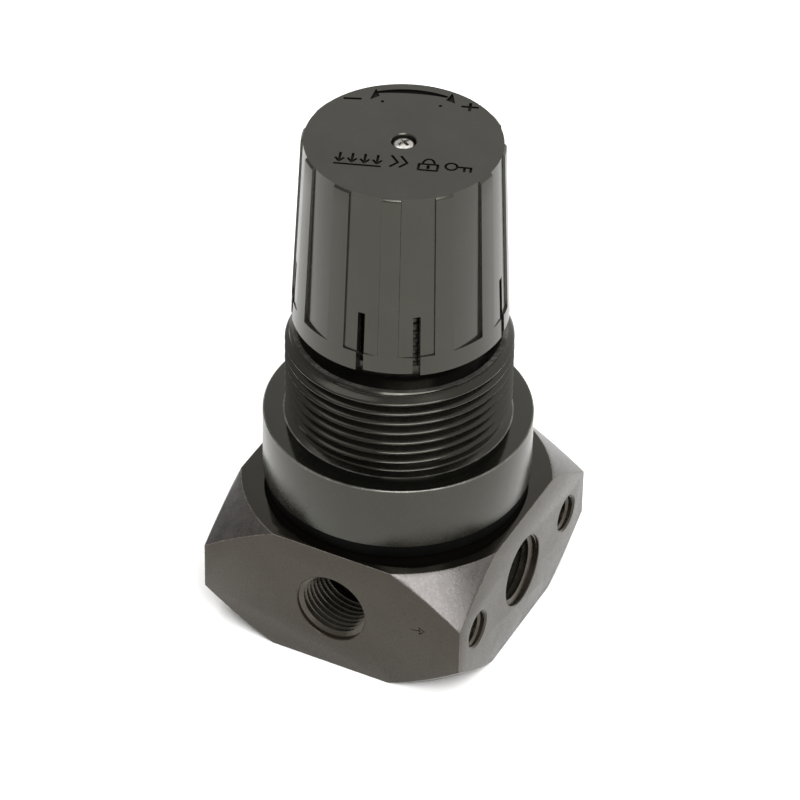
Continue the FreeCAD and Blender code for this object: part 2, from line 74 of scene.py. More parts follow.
# body block
BODY_HALF = body_high.x
BODY_FOOT = body_low.z
BODY_TOP = gasket_low.z
BOSS_TOP = body_high.z
CONE_R, CORNER_STEPS = 20.9, 14
PORT_HEIGHT = (BODY_TOP - BODY_FOOT) / 2
PORT_R, PORT_PITCH = 5.05, 0.907
PORT_DEPTH, PORT_TIP = 9.0, 2.4
FIXING_OFFSET = 13.6
FIXING_R, FIXING_PITCH = 2.5, 0.8
FIXING_DEPTH, FIXING_TIP = 8.0, 1.2
BOSS_R = 16.4
CHAMBER_R, CHAMBER_FLOOR = 12.6, 17.5
SEAT_BORE_R, SEAT_SHELF = 3.2, 14.6
VALVE_BORE_R = 5.0
PLUG_THREAD_R, PLUG_THREAD_TOP = 6.5, 6.0
FEED_R, RISER_R, RISER_OUT = 1.6, 1.2, 11.0
# bonnet
GASKET_TOP = bonnet_low.z
COLLAR_R = 18.0
COLLAR_TOP = 30.5
THREAD_FOOT, THREAD_TOP = 31.9, 43.7
THREAD_R, THREAD_ROOT_R, THREAD_PITCH = 15.08, 14.15, 1.5875
THREAD_START = 0.95
RELIEF_FOOT_R = 15.2
NECK_R = 11.8
NECK_TOP = bonnet_high.z
NECK_BORE_R, NECK_FLOOR = 9.9, 46.0
GROOVE_R, GROOVE_FLOOR = 12.9, 43.0
SPINDLE_BORE_R, SPINDLE_ROOF = 4.58, 42.0
SPRING_BORE_R, CLAMP_ROOF = 10.8, 26.9
CLAMP_R = 16.45
# knob: angles run from the middle of its marked front, which stands at this turn about Z
KNOB_TURN = math.radians(20.2)
KNOB_FOOT, KNOB_TOP = knob_low.z, knob_high.z
KNOB_FOOT_R, KNOB_EDGE_R, KNOB_TOP_R = 14.3, 13.12, 12.81
KNOB_EDGE = KNOB_TOP - 0.4
FACET_FOOT = 49.4
FACET_MIDDLES, FACET_HALF, FACET_WALL = (15, 45, 75), 9.5, 0.25
NEAR_DEPTH, FRONT_DEPTH, SIDE_DEPTH, LAST_DEPTH = 0.06, 0.25, 0.45, 0.32
SLOT_TOP, SLOT_HALF = 55.5, 2.05
FINGER_LIFT = 0.45
SKIRT_BORE_R, SKIRT_TOP = 12.7, 57.7
BEAD_R, BEAD_FOOT, BEAD_TOP, BEAD_SLOPE = 12.35, 47.1, 48.1, 0.15
SHELL_BORE_R, SHELL_ROOF = 10.15, 70.9
HUB_R, HUB_FOOT, HEXAGON_HALF = 6.0, 57.5, 3.58
RECESS_R, RECESS_FLOOR = 1.6, 71.5
SCREW_BORE_R = 1.15
# retaining screw
SCREW_FOOT = 65.0
SHANK_R, HEAD_R = 1.0, 1.42
HEAD_EDGE, HEAD_DOME = 72.7, 0.48
CROSS_LENGTH, CROSS_WIDTH, CROSS_FOOT = 1.05, 0.23, 72.2
# travel of the joints that load the springs
NUT_TRAVEL, VALVE_STROKE = 4.0, 0.8
AROUND = 192


# ---------------------------------------------------------------- finishes
def wire(tree, source, target):
    tree.links.new(source, target)


def pattern(tree, kind, place, **settings):
    """Texture node on the piece's own coordinates, in millimetres."""
    node = tree.nodes.new(kind)
    for name, value in settings.items():
        if name in node.inputs:
            node.inputs[name].default_value = value
        else:
            setattr(node, name, value)
    wire(tree, place, node.inputs["Vector"])
    return node.outputs[0]


def spread(tree, value, low, high, start=0.3, end=0.7):
    """Takes a pattern from start..end to low..high."""
    node = tree.nodes.new("ShaderNodeMapRange")
    for socket, number in zip(("From Min", "From Max", "To Min", "To Max"),
                              (start, end, low, high)):
        node.inputs[socket].default_value = number
    wire(tree, value, node.inputs["Value"])
    return node.outputs[0]


def math_node(tree, operation, *terms):
    node = tree.nodes.new("ShaderNodeMath")
    node.operation = operation
    for socket, term in zip(node.inputs, terms):
        if isinstance(term, (int, float)):
            socket.default_value = term
        else:
            wire(tree, term, socket)
    return node.outputs[0]


def blend_colours(tree, factor, first, second):
    node = tree.nodes.new("ShaderNodeMix")
    node.data_type = "RGBA"
    wire(tree, factor, node.inputs["Factor"])
    for socket, colour in ((node.inputs[6], first), (node.inputs[7], second)):
        if isinstance(colour, tuple):
            socket.default_value = colour + (1.0,)
        else:
            wire(tree, colour, socket)
    return node.outputs[2]


def finish(name, dark, light, rough, metal=0.0, ior=1.5, grain=0.25, grain_depth=0.01,
           cloud=6.0, turned=0.0, turned_pitch=0.11, specks=None, scuffs=None,
           tint=(1.0, 1.0, 1.0)):
    """Clouded colour and fine grain, with turning marks, specks and scuffs if asked for."""
    material = bpy.data.materials.new(name)
    material.use_nodes = True
    tree = material.node_tree
    shader = tree.nodes["Principled BSDF"]
    shader.inputs["Metallic"].default_value = metal
    shader.inputs["IOR"].default_value = ior
    shader.inputs["Specular Tint"].default_value = tint + (1.0,)
    centred = tree.nodes.new("ShaderNodeMapping")
    centred.inputs["Scale"].default_value = (1 / MM, 1 / MM, 1 / MM)
    wire(tree, tree.nodes.new("ShaderNodeTexCoord").outputs["Object"], centred.inputs["Vector"])
    place = centred.outputs["Vector"]
    clouds = pattern(tree, "ShaderNodeTexNoise", place, Scale=1 / cloud, Detail=5.0, Roughness=0.6)
    fine = pattern(tree, "ShaderNodeTexNoise", place, Scale=1 / grain, Detail=4.0, Roughness=0.65)
    colour = blend_colours(tree, spread(tree, clouds, 0.0, 1.0), dark, light)
    colour = blend_colours(tree, spread(tree, fine, 0.0, 0.35, 0.35, 0.7), colour, light)
    roughness = math_node(tree, "ADD", spread(tree, fine, -0.05, 0.05),
                          spread(tree, clouds, rough[0], rough[1]))
    height = math_node(tree, "MULTIPLY", fine, grain_depth)
    if turned:
        lines = pattern(tree, "ShaderNodeTexWave", place, wave_type="BANDS", bands_direction="Z",
                        Scale=0.314 / turned_pitch, Distortion=0.6, Detail=3.0,
                        **{"Detail Scale": 0.8})
        height = math_node(tree, "ADD", height, math_node(tree, "MULTIPLY", lines, turned))
        roughness = math_node(tree, "ADD", roughness, spread(tree, lines, -0.03, 0.05, 0.0, 1.0))
    if specks:
        speck_colour, size, share = specks
        cells = pattern(tree, "ShaderNodeTexVoronoi", place, Scale=1 / size, Randomness=1.0)
        patch = pattern(tree, "ShaderNodeTexNoise", place, Scale=0.55 / size, Detail=3.0)
        near = spread(tree, cells, 1.0, 0.0, 0.1, 0.28)
        marks = math_node(tree, "MULTIPLY", near, spread(tree, patch, 0.0, share, 0.5, 0.62))
        colour = blend_colours(tree, marks, colour, speck_colour)
    if scuffs:
        scuff_colour, share = scuffs
        drawn = tree.nodes.new("ShaderNodeMapping")
        drawn.inputs["Rotation"].default_value = (0.4, 0.7, 0.9)
        drawn.inputs["Scale"].default_value = (2.6, 0.16, 2.6)
        wire(tree, place, drawn.inputs["Vector"])
        streaks = pattern(tree, "ShaderNodeTexNoise", drawn.outputs["Vector"], Scale=1.0,
                          Detail=4.0, Roughness=0.7)
        marks = spread(tree, streaks, 0.0, share, 0.66, 0.74)
        colour = blend_colours(tree, marks, colour, scuff_colour)
        roughness = math_node(tree, "ADD", roughness, math_node(tree, "MULTIPLY", marks, 0.12))
    bump = tree.nodes.new("ShaderNodeBump")
    bump.inputs["Strength"].default_value = 1.0
    bump.inputs["Distance"].default_value = MM
    wire(tree, height, bump.inputs["Height"])
    wire(tree, colour, shader.inputs["Base Color"])
    wire(tree, roughness, shader.inputs["Roughness"])
    wire(tree, bump.outputs["Normal"], shader.inputs["Normal"])
    return material


# tints of the dyed surface's shine
WARM = (1.0, 0.91, 0.76)
OLIVE = (1.0, 0.99, 0.85)
BLOCK = finish("black anodised bar", (0.0065, 0.0050, 0.0037), (0.012, 0.0095, 0.0072),
               (0.21, 0.33), grain=0.22, grain_depth=0.007, cloud=4.0,
               specks=((0.001, 0.0008, 0.0006), 0.9, 1.0), scuffs=((0.04, 0.034, 0.027), 0.6),
               tint=WARM)
# flat top round the boss: darker than the bar, painted shade under the overhanging collar; its gloss
# is real
SHADED_BLOCK_TOP = finish("faced top of the bar in painted shade", (0.0010, 0.0009, 0.0007), (0.002, 0.0017, 0.0014),
                   (0.05, 0.10), ior=1.42, grain=0.3, grain_depth=0.001, tint=WARM)
# bevelled edges of the bar: lighter and more metallic, partly wear, partly painted highlight
BLOCK_EDGE_WEAR_AND_HIGHLIGHT = finish("worn edge of the bar with painted highlight", (0.02, 0.018, 0.0155), (0.10, 0.092, 0.08),
                    (0.20, 0.34), metal=0.4, ior=1.6, grain=0.3, cloud=1.2, tint=WARM)
CONE = finish("turned corners of the bar", (0.006, 0.0049, 0.0045), (0.024, 0.0207, 0.0195),
              (0.24, 0.34), ior=1.62, grain=0.35, grain_depth=0.012, cloud=2.0,
              specks=((0.003, 0.0025, 0.0025), 0.8, 0.9), scuffs=((0.08, 0.071, 0.067), 0.6),
              tint=(1.0, 0.955, 0.935))
TURNED = finish("black anodised collar", (0.0060, 0.0060, 0.0049), (0.0100, 0.0099, 0.0082),
                (0.19, 0.25), ior=1.49, grain=0.16, grain_depth=0.003, turned=0.0022, tint=OLIVE)
# rounded edges of the bonnet: lighter and more metallic, partly wear, partly painted highlight
TURNED_EDGE_WEAR_AND_HIGHLIGHT = finish("worn turned edge with painted highlight", (0.02, 0.0195, 0.0175), (0.12, 0.117, 0.107), (0.18, 0.3),
                     metal=0.5, ior=1.6, grain=0.8, grain_depth=0.004, cloud=3.0, tint=OLIVE)
# collar top: darker than the collar's side, painted shade; its gloss is real
SHADED_COLLAR_TOP = finish("faced collar top in painted shade", (0.0020, 0.0020, 0.0016), (0.004, 0.004, 0.0033), (0.07, 0.12),
               ior=1.46, grain=0.2, grain_depth=0.0015, tint=OLIVE)
# thread flanks: darker than the collar, painted shade of the grooves
SHADED_THREAD = finish("black anodised thread in painted groove shade", (0.0010, 0.0010, 0.0008), (0.003, 0.0029, 0.0025),
                (0.16, 0.24), ior=1.42, grain=0.5, grain_depth=0.0015, tint=OLIVE)
# thread crests: lighter than the flanks, partly wear, partly painted highlight
THREAD_CREST_WEAR_AND_HIGHLIGHT = finish("worn thread crest with painted highlight", (0.002, 0.002, 0.0017), (0.022, 0.0215, 0.019),
                      (0.16, 0.28), metal=0.1, ior=1.48, grain=0.8, grain_depth=0.002,
                      cloud=2.2, tint=OLIVE)
TAPPED = finish("tapped thread", (0.009, 0.008, 0.0063), (0.03, 0.027, 0.022), (0.18, 0.28),
                metal=0.3, ior=1.7, grain=0.5, grain_depth=0.002, cloud=2.5, tint=WARM)
RUBBER = finish("black sealing rubber", (0.0010, 0.0010, 0.0010), (0.0024, 0.0023, 0.0022),
                (0.5, 0.65), ior=1.12, grain=0.2, grain_depth=0.012)
MOULDED = finish("moulded knob", (0.0055, 0.0052, 0.0042), (0.0095, 0.0090, 0.0074), (0.19, 0.25),
                 grain=0.18, grain_depth=0.005, cloud=5.0,
                 scuffs=((0.025, 0.0235, 0.0205), 0.3), tint=OLIVE)
# marks: darker than the knob, painted shade in their recesses
SHADED_MARKS = finish("moulded marks in painted recess shade", (0.0010, 0.0010, 0.0008), (0.0025, 0.0024, 0.0020), (0.5, 0.6),
                ior=1.2, grain=0.2, grain_depth=0.004)
BRIGHT_STEEL = finish("bright steel", (0.3, 0.29, 0.27), (0.5, 0.49, 0.46), (0.16, 0.28),
                      metal=1.0, grain=0.3, grain_depth=0.01, cloud=1.0)
PLATED_STEEL = finish("plated steel", (0.3, 0.29, 0.26), (0.46, 0.44, 0.4), (0.25, 0.38),
                      metal=1.0, grain=0.3, turned=0.003, cloud=3.0)
SPRING_STEEL = finish("spring steel", (0.2, 0.19, 0.18), (0.34, 0.33, 0.31), (0.25, 0.35),
                      metal=1.0, grain=0.2, cloud=2.0)
BRASS = finish("brass", (0.46, 0.32, 0.13), (0.62, 0.45, 0.2), (0.22, 0.34), metal=1.0,
               grain=0.25, turned=0.003, cloud=3.0)
NYLON = finish("white nylon", (0.7, 0.68, 0.62), (0.8, 0.78, 0.72), (0.4, 0.5), grain=0.3)


# ---------------------------------------------------------------- mesh building
def eased(outline, closed=True, pieces=3):
    """Outline of (radius, height) or (radius, height, ease) corners with eased corners rounded."""
    points = []
    count = len(outline)
    for index, corner in enumerate(outline):
        ease = corner[2] if len(corner) > 2 else 0
        here = Vector(corner[:2])
        if not ease or (not closed and index in (0, count - 1)):
            points.append(tuple(here))
            continue
        before = Vector(outline[index - 1][:2])
        after = Vector(outline[(index + 1) % count][:2])
        start = here + (before - here).normalized() * ease
        end = here + (after - here).normalized() * ease
        for step in range(pieces + 1):
            t = step / pieces
            points.append(tuple(start * (1 - t) ** 2 + here * 2 * t * (1 - t) + end * t * t))
    return points


def lathe(mesh, outline, closed=True, steps=AROUND, edge_faces=None):
    """Turns an outline about Z into faces of mesh.  edge_faces(first, second) gives the finish."""
    rings = []
    for radius, height in outline:
        if radius < 1e-6:
            rings.append([mesh.verts.new((0, 0, height))])
        else:
            rings.append([mesh.verts.new((radius * math.sin(2 * math.pi * k / steps),
                                          -radius * math.cos(2 * math.pi * k / steps),
                                          height)) for k in range(steps)])
    last = len(rings) if closed else len(rings) - 1
    for index in range(last):
        first, second = rings[index], rings[(index + 1) % len(rings)]
        if len(first) == 1 and len(second) == 1:
            continue
        slot = edge_faces(outline[index], outline[(index + 1) % len(rings)]) if edge_faces else 0
        for k in range(steps):
            after = (k + 1) % steps
            corners = [first[k % len(first)], first[after % len(first)],
                       second[after % len(second)], second[k % len(second)]]
            face = mesh.faces.new(list(dict.fromkeys(corners)))
            face.material_index = slot
    return rings


def placed(name, data):
    """New object in the scene for a mesh, a lamp or a camera."""
    made = bpy.data.objects.new(name, data)
    bpy.context.scene.collection.objects.link(made)
    return made


def filled(name, mesh, materials):
    """Blender mesh with the faces of a working mesh, which is then freed."""
    data = bpy.data.meshes.new(name)
    mesh.to_mesh(data)
    mesh.free()
    for material in materials:
        data.materials.append(material)
    return data


def to_object(name, mesh, materials, recalculate=True):
    """Finished mesh in millimetres becomes an object in metres."""
    if recalculate:
        bmesh.ops.recalc_face_normals(mesh, faces=mesh.faces)
    bmesh.ops.scale(mesh, vec=(MM, MM, MM), verts=mesh.verts)
    return placed(name, filled(name, mesh, materials))


def applied(made, name=None):
    """Plain-mesh copy of an object with its modifiers worked in; the original goes."""
    bpy.context.view_layer.update()
    seen = made.evaluated_get(bpy.context.evaluated_depsgraph_get())
    data = bpy.data.meshes.new_from_object(seen)
    label = name or made.name
    bpy.data.objects.remove(made)
    data.name = label
    return placed(label, data)


def cut(made, cutters):
    """Takes each cutter's shape out of the piece, and removes the cutter."""
    for cutter in cutters:
        tool = made.modifiers.new("cut", "BOOLEAN")
        tool.operation = "DIFFERENCE"
        tool.solver = "EXACT"
        tool.use_self = True
        tool.material_mode = "TRANSFER"
        tool.object = cutter
    plain = applied(made)
    for cutter in cutters:
        bpy.data.objects.remove(cutter)
    return plain


def joined(name, pieces):
    """One object from several, keeping each one's finishes."""
    mesh = bmesh.new()
    materials = []
    for piece in pieces:
        own = [slot.material for slot in piece.material_slots]
        for material in own:
            if material not in materials:
                materials.append(material)
        part = bmesh.new()
        part.from_mesh(piece.data)
        for face in part.faces:
            face.material_index = materials.index(own[face.material_index])
        scratch = bpy.data.meshes.new("scratch")
        part.to_mesh(scratch)
        part.free()
        mesh.from_mesh(scratch)
        bpy.data.meshes.remove(scratch)
        bpy.data.objects.remove(piece)
    return placed(name, filled(name, mesh, materials))


def smooth(made):
    """Smooth shading, with every fold past this angle kept sharp."""
    made.data.shade_smooth()
    made.data.set_sharp_from_angle(angle=math.radians(28))
    return made


def seat(made, body, slot, *nodes):
    """Sets a finished piece on its body in place of the designed pieces it stands for."""
    smooth(made)
    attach(made, body)
    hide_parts(*nodes)
    return made


# ---------------------------------------------------------------- geometry trees
def new_tree(name, sizes, takes_mesh=False):
    """Empty geometry tree with named number inputs, and its input and output nodes."""
    tree = bpy.data.node_groups.new(name, "GeometryNodeTree")
    if takes_mesh:
        tree.interface.new_socket("Mesh", in_out="INPUT", socket_type="NodeSocketGeometry")
    for label, value in sizes.items():
        kind = "NodeSocketInt" if isinstance(value, int) else "NodeSocketFloat"
        tree.interface.new_socket(label, in_out="INPUT", socket_type=kind).default_value = value
    tree.interface.new_socket("Finish", in_out="INPUT", socket_type="NodeSocketMaterial")
    tree.interface.new_socket("Edge finish", in_out="INPUT", socket_type="NodeSocketMaterial")
    tree.interface.new_socket("Mesh", in_out="OUTPUT", socket_type="NodeSocketGeometry")
    return tree, tree.nodes.new("NodeGroupInput").outputs, tree.nodes.new("NodeGroupOutput").inputs


def node(tree, kind, links=None, **settings):
    """Adds a node, with values or links for its inputs and settings for its fields."""
    made = tree.nodes.new(kind)
    for name, value in settings.items():
        setattr(made, name, value)
    for socket, value in (links or {}).items():
        target = made.inputs[socket]
        if isinstance(value, bpy.types.NodeSocket):
            wire(tree, value, target)
        else:
            target.default_value = value
    return made


def run_tree(name, tree, values, start=None):
    """Runs a tree on an object and gives back its result as a plain mesh."""
    made = start or placed(name, bpy.data.meshes.new(name))
    tool = made.modifiers.new(name, "NODES")
    tool.node_group = tree
    names = {item.name: item.identifier for item in tree.interface.items_tree
             if item.item_type == "SOCKET" and item.in_out == "INPUT"}
    for label, value in values.items():
        tool[names[label]] = value
    return applied(made, name)


def ranged(tree, value, start, end, low, high):
    return node(tree, "ShaderNodeMapRange", {"Value": value, "From Min": start, "From Max": end,
                                             "To Min": low, "To Max": high}).outputs[0]


def round_axis(tree, radius, angle, height):
    """Place in metres for a radius and height in millimetres and an angle from the front."""
    across = math_node(tree, "MULTIPLY", radius, math_node(tree, "SINE", angle))
    forward = math_node(tree, "MULTIPLY", radius, math_node(tree, "COSINE", angle))
    along = math_node(tree, "MULTIPLY", forward, -1.0)
    place = node(tree, "ShaderNodeCombineXYZ", {"X": across, "Y": along, "Z": height}).outputs[0]
    return node(tree, "ShaderNodeVectorMath", {0: place, "Scale": MM},
                operation="SCALE").outputs[0]


def in_metres(tree, mesh):
    return node(tree, "GeometryNodeTransform",
                {"Geometry": mesh, "Scale": (MM, MM, MM)}).outputs[0]


def circle(tree, points, radius):
    return node(tree, "GeometryNodeCurvePrimitiveCircle",
                {"Resolution": points, "Radius": radius}, mode="RADIUS").outputs[0]


def up_z(tree, height):
    return node(tree, "ShaderNodeCombineXYZ", {"Z": height}).outputs[0]


def end_tree(tree, mesh, inputs, outputs, edge=None):
    """Closes a tree: instances made real, the finish set, and the edge finish where asked."""
    real = node(tree, "GeometryNodeRealizeInstances", {"Geometry": mesh}).outputs[0]
    done = node(tree, "GeometryNodeSetMaterial",
                {"Geometry": real, "Material": inputs["Finish"]}).outputs[0]
    if edge is not None:
        done = node(tree, "GeometryNodeSetMaterial",
                    {"Geometry": done, "Selection": edge,
                     "Material": inputs["Edge finish"]}).outputs[0]
    wire(tree, done, outputs["Mesh"])


def panel_thread_tree():
    """Screw thread as one skin whose rows climb with the helix, faded out at both ends."""
    tree, sizes, outputs = new_tree("panel thread", {
        "Foot": THREAD_FOOT, "Top": THREAD_TOP, "Crest radius": THREAD_R,
        "Root radius": THREAD_ROOT_R, "Pitch": THREAD_PITCH, "Start": THREAD_START,
        "Steps around": AROUND, "Rows per turn": 16, "Rows": 145})
    grid = node(tree, "GeometryNodeMeshGrid", {
        "Size X": 1.0, "Size Y": 1.0,
        "Vertices X": math_node(tree, "ADD", sizes["Steps around"], 1.0),
        "Vertices Y": math_node(tree, "ADD", sizes["Rows"], 1.0)}).outputs["Mesh"]
    split = node(tree, "ShaderNodeSeparateXYZ",
                 {"Vector": node(tree, "GeometryNodeInputPosition").outputs[0]}).outputs
    turn = math_node(tree, "ADD", split["X"], 0.5)
    row = math_node(tree, "MULTIPLY", math_node(tree, "ADD", split["Y"], 0.5), sizes["Rows"])
    climb = math_node(tree, "DIVIDE", row, sizes["Rows per turn"])
    # height of the row at this turn, before it is held between the thread's two ends
    lift = math_node(tree, "ADD", math_node(tree, "SUBTRACT", climb, 1.0), turn)
    free = math_node(tree, "MULTIPLY_ADD", lift, sizes["Pitch"], sizes["Foot"])
    height = math_node(tree, "MINIMUM", math_node(tree, "MAXIMUM", free, sizes["Foot"]),
                       sizes["Top"])
    wave = math_node(tree, "PINGPONG", math_node(tree, "ADD", climb, sizes["Start"]), 0.5)
    profile = ranged(tree, wave, 0.125, 0.46, sizes["Root radius"], sizes["Crest radius"])
    lead_in = math_node(tree, "MULTIPLY_ADD", math_node(tree, "SUBTRACT", height, sizes["Foot"]),
                        1.14, sizes["Root radius"])
    lead_out = math_node(tree, "ADD", math_node(tree, "SUBTRACT", sizes["Top"], height),
                         sizes["Root radius"])
    radius = math_node(tree, "MINIMUM", profile, math_node(tree, "MINIMUM", lead_in, lead_out))
    angle = math_node(tree, "MULTIPLY", turn, 2 * math.pi)
    metres = round_axis(tree, radius, angle, height)
    # crests picked here take the edge finish: partly wear, partly painted highlight
    crest = node(tree, "FunctionNodeCompare", {
        0: radius, 1: math_node(tree, "SUBTRACT", sizes["Crest radius"], 0.06)},
        operation="GREATER_THAN").outputs[0]
    kept = node(tree, "GeometryNodeStoreNamedAttribute",
                {"Geometry": grid, "Name": "crest", "Value": crest},
                data_type="FLOAT").outputs[0]
    moved = node(tree, "GeometryNodeSetPosition", {"Geometry": kept, "Position": metres}).outputs[0]
    welded = node(tree, "GeometryNodeMergeByDistance",
                  {"Geometry": moved, "Distance": 0.002 * MM}).outputs[0]
    worn = node(tree, "GeometryNodeInputNamedAttribute", {"Name": "crest"},
                data_type="FLOAT").outputs[0]
    end_tree(tree, welded, sizes, outputs,
             edge=node(tree, "FunctionNodeCompare", {0: worn, 1: 0.9},
                       operation="GREATER_THAN").outputs[0])
    return tree


def tapped_thread_tree():
    """Coiled ridge that grows out of a bore's wall, repeated round the block's faces."""
    tree, sizes, outputs = new_tree("tapped thread", {
        "Bore radius": PORT_R, "Ridge": 0.6, "Pitch": PORT_PITCH, "Turns": 8.5, "Face": BODY_HALF,
        "Set in": 0.5, "Height": PORT_HEIGHT, "Offset": 0.0, "Faces": 4, "First turn": 0.0})
    coil = node(tree, "GeometryNodeCurveSpiral", {
        "Resolution": 48, "Rotations": sizes["Turns"], "Start Radius": sizes["Bore radius"],
        "End Radius": sizes["Bore radius"],
        "Height": math_node(tree, "MULTIPLY", sizes["Turns"], sizes["Pitch"])}).outputs[0]
    upright = node(tree, "GeometryNodeSetCurveNormal", {"Curve": coil}, mode="Z_UP").outputs[0]
    ridge = node(tree, "GeometryNodeCurvePrimitiveQuadrilateral", {
        "Bottom Width": math_node(tree, "MULTIPLY", sizes["Pitch"], 1.5),
        "Top Width": math_node(tree, "MULTIPLY", sizes["Pitch"], 0.1),
        "Height": math_node(tree, "MULTIPLY", sizes["Ridge"], 2.0), "Offset": 0.0},
        mode="TRAPEZOID").outputs[0]
    stood = node(tree, "GeometryNodeTransform",
                 {"Geometry": ridge, "Rotation": (0, 0, -math.pi / 2)}).outputs[0]
    along = node(tree, "GeometryNodeSplineParameter").outputs["Factor"]
    growth = ranged(tree, along, 0.0, math_node(tree, "DIVIDE", 0.5, sizes["Turns"]), 0.05, 1.0)
    swept = node(tree, "GeometryNodeCurveToMesh", {
        "Curve": upright, "Profile Curve": stood, "Scale": growth, "Fill Caps": True}).outputs[0]
    depth = math_node(tree, "MULTIPLY", math_node(tree, "SUBTRACT", sizes["Face"],
                                                  sizes["Set in"]), -1.0)
    laid = node(tree, "GeometryNodeTransform", {
        "Geometry": swept, "Rotation": (-math.pi / 2, 0, 0),
        "Translation": node(tree, "ShaderNodeCombineXYZ", {
            "X": sizes["Offset"], "Y": depth, "Z": sizes["Height"]}).outputs[0]}).outputs[0]
    spots = node(tree, "GeometryNodeMeshLine",
                 {"Count": sizes["Faces"], "Offset": (0, 0, 0)}).outputs[0]
    step = math_node(tree, "DIVIDE", 2 * math.pi, sizes["Faces"])
    facing = node(tree, "ShaderNodeCombineXYZ", {
        "Z": math_node(tree, "MULTIPLY_ADD", node(tree, "GeometryNodeInputIndex").outputs[0], step,
                       sizes["First turn"])}).outputs[0]
    repeated = node(tree, "GeometryNodeInstanceOnPoints", {
        "Points": spots, "Instance": laid, "Rotation": facing}).outputs[0]
    real = node(tree, "GeometryNodeRealizeInstances", {"Geometry": repeated}).outputs[0]
    end_tree(tree, in_metres(tree, real), sizes, outputs)
    return tree


def stacked_rings_tree():
    """Rounded rings stacked along Z, which the knob's beads click over."""
    tree, sizes, outputs = new_tree("detent rings", {
        "Radius": NECK_R, "Proud": 0.35, "Foot": 46.7, "Pitch": 1.25, "Count": 7})
    ring = node(tree, "GeometryNodeCurveToMesh", {
        "Curve": circle(tree, 96, sizes["Radius"]),
        "Profile Curve": circle(tree, 10, sizes["Proud"])}).outputs[0]
    spots = node(tree, "GeometryNodeMeshLine", {
        "Count": sizes["Count"], "Start Location": up_z(tree, sizes["Foot"]),
        "Offset": up_z(tree, sizes["Pitch"])}).outputs[0]
    stack = node(tree, "GeometryNodeInstanceOnPoints",
                 {"Points": spots, "Instance": ring}).outputs[0]
    real = node(tree, "GeometryNodeRealizeInstances", {"Geometry": stack}).outputs[0]
    end_tree(tree, in_metres(tree, real), sizes, outputs)
    return tree


def coil_spring_tree():
    """Round-wire spring that climbs Z from one flat end turn to the other."""
    tree, sizes, outputs = new_tree("coil spring", {
        "Foot": 0.0, "Top": 10.0, "Mean radius": 7.0, "Wire radius": 0.8, "Turns": 6.0,
        "End turns": 0.3})
    coil = node(tree, "GeometryNodeCurveSpiral", {
        "Resolution": 40, "Rotations": sizes["Turns"], "Start Radius": sizes["Mean radius"],
        "End Radius": sizes["Mean radius"], "Height": 0.0}).outputs[0]
    along = node(tree, "GeometryNodeSplineParameter").outputs["Factor"]
    closed = math_node(tree, "DIVIDE", sizes["End turns"], sizes["Turns"])
    height = ranged(tree, along, closed, math_node(tree, "SUBTRACT", 1.0, closed),
                    math_node(tree, "ADD", sizes["Foot"], sizes["Wire radius"]),
                    math_node(tree, "SUBTRACT", sizes["Top"], sizes["Wire radius"]))
    risen = node(tree, "GeometryNodeSetPosition",
                 {"Geometry": coil, "Offset": up_z(tree, height)}).outputs[0]
    wound = node(tree, "GeometryNodeCurveToMesh", {
        "Curve": risen, "Profile Curve": circle(tree, 14, sizes["Wire radius"]),
        "Fill Caps": True}).outputs[0]
    end_tree(tree, in_metres(tree, wound), sizes, outputs)
    return tree


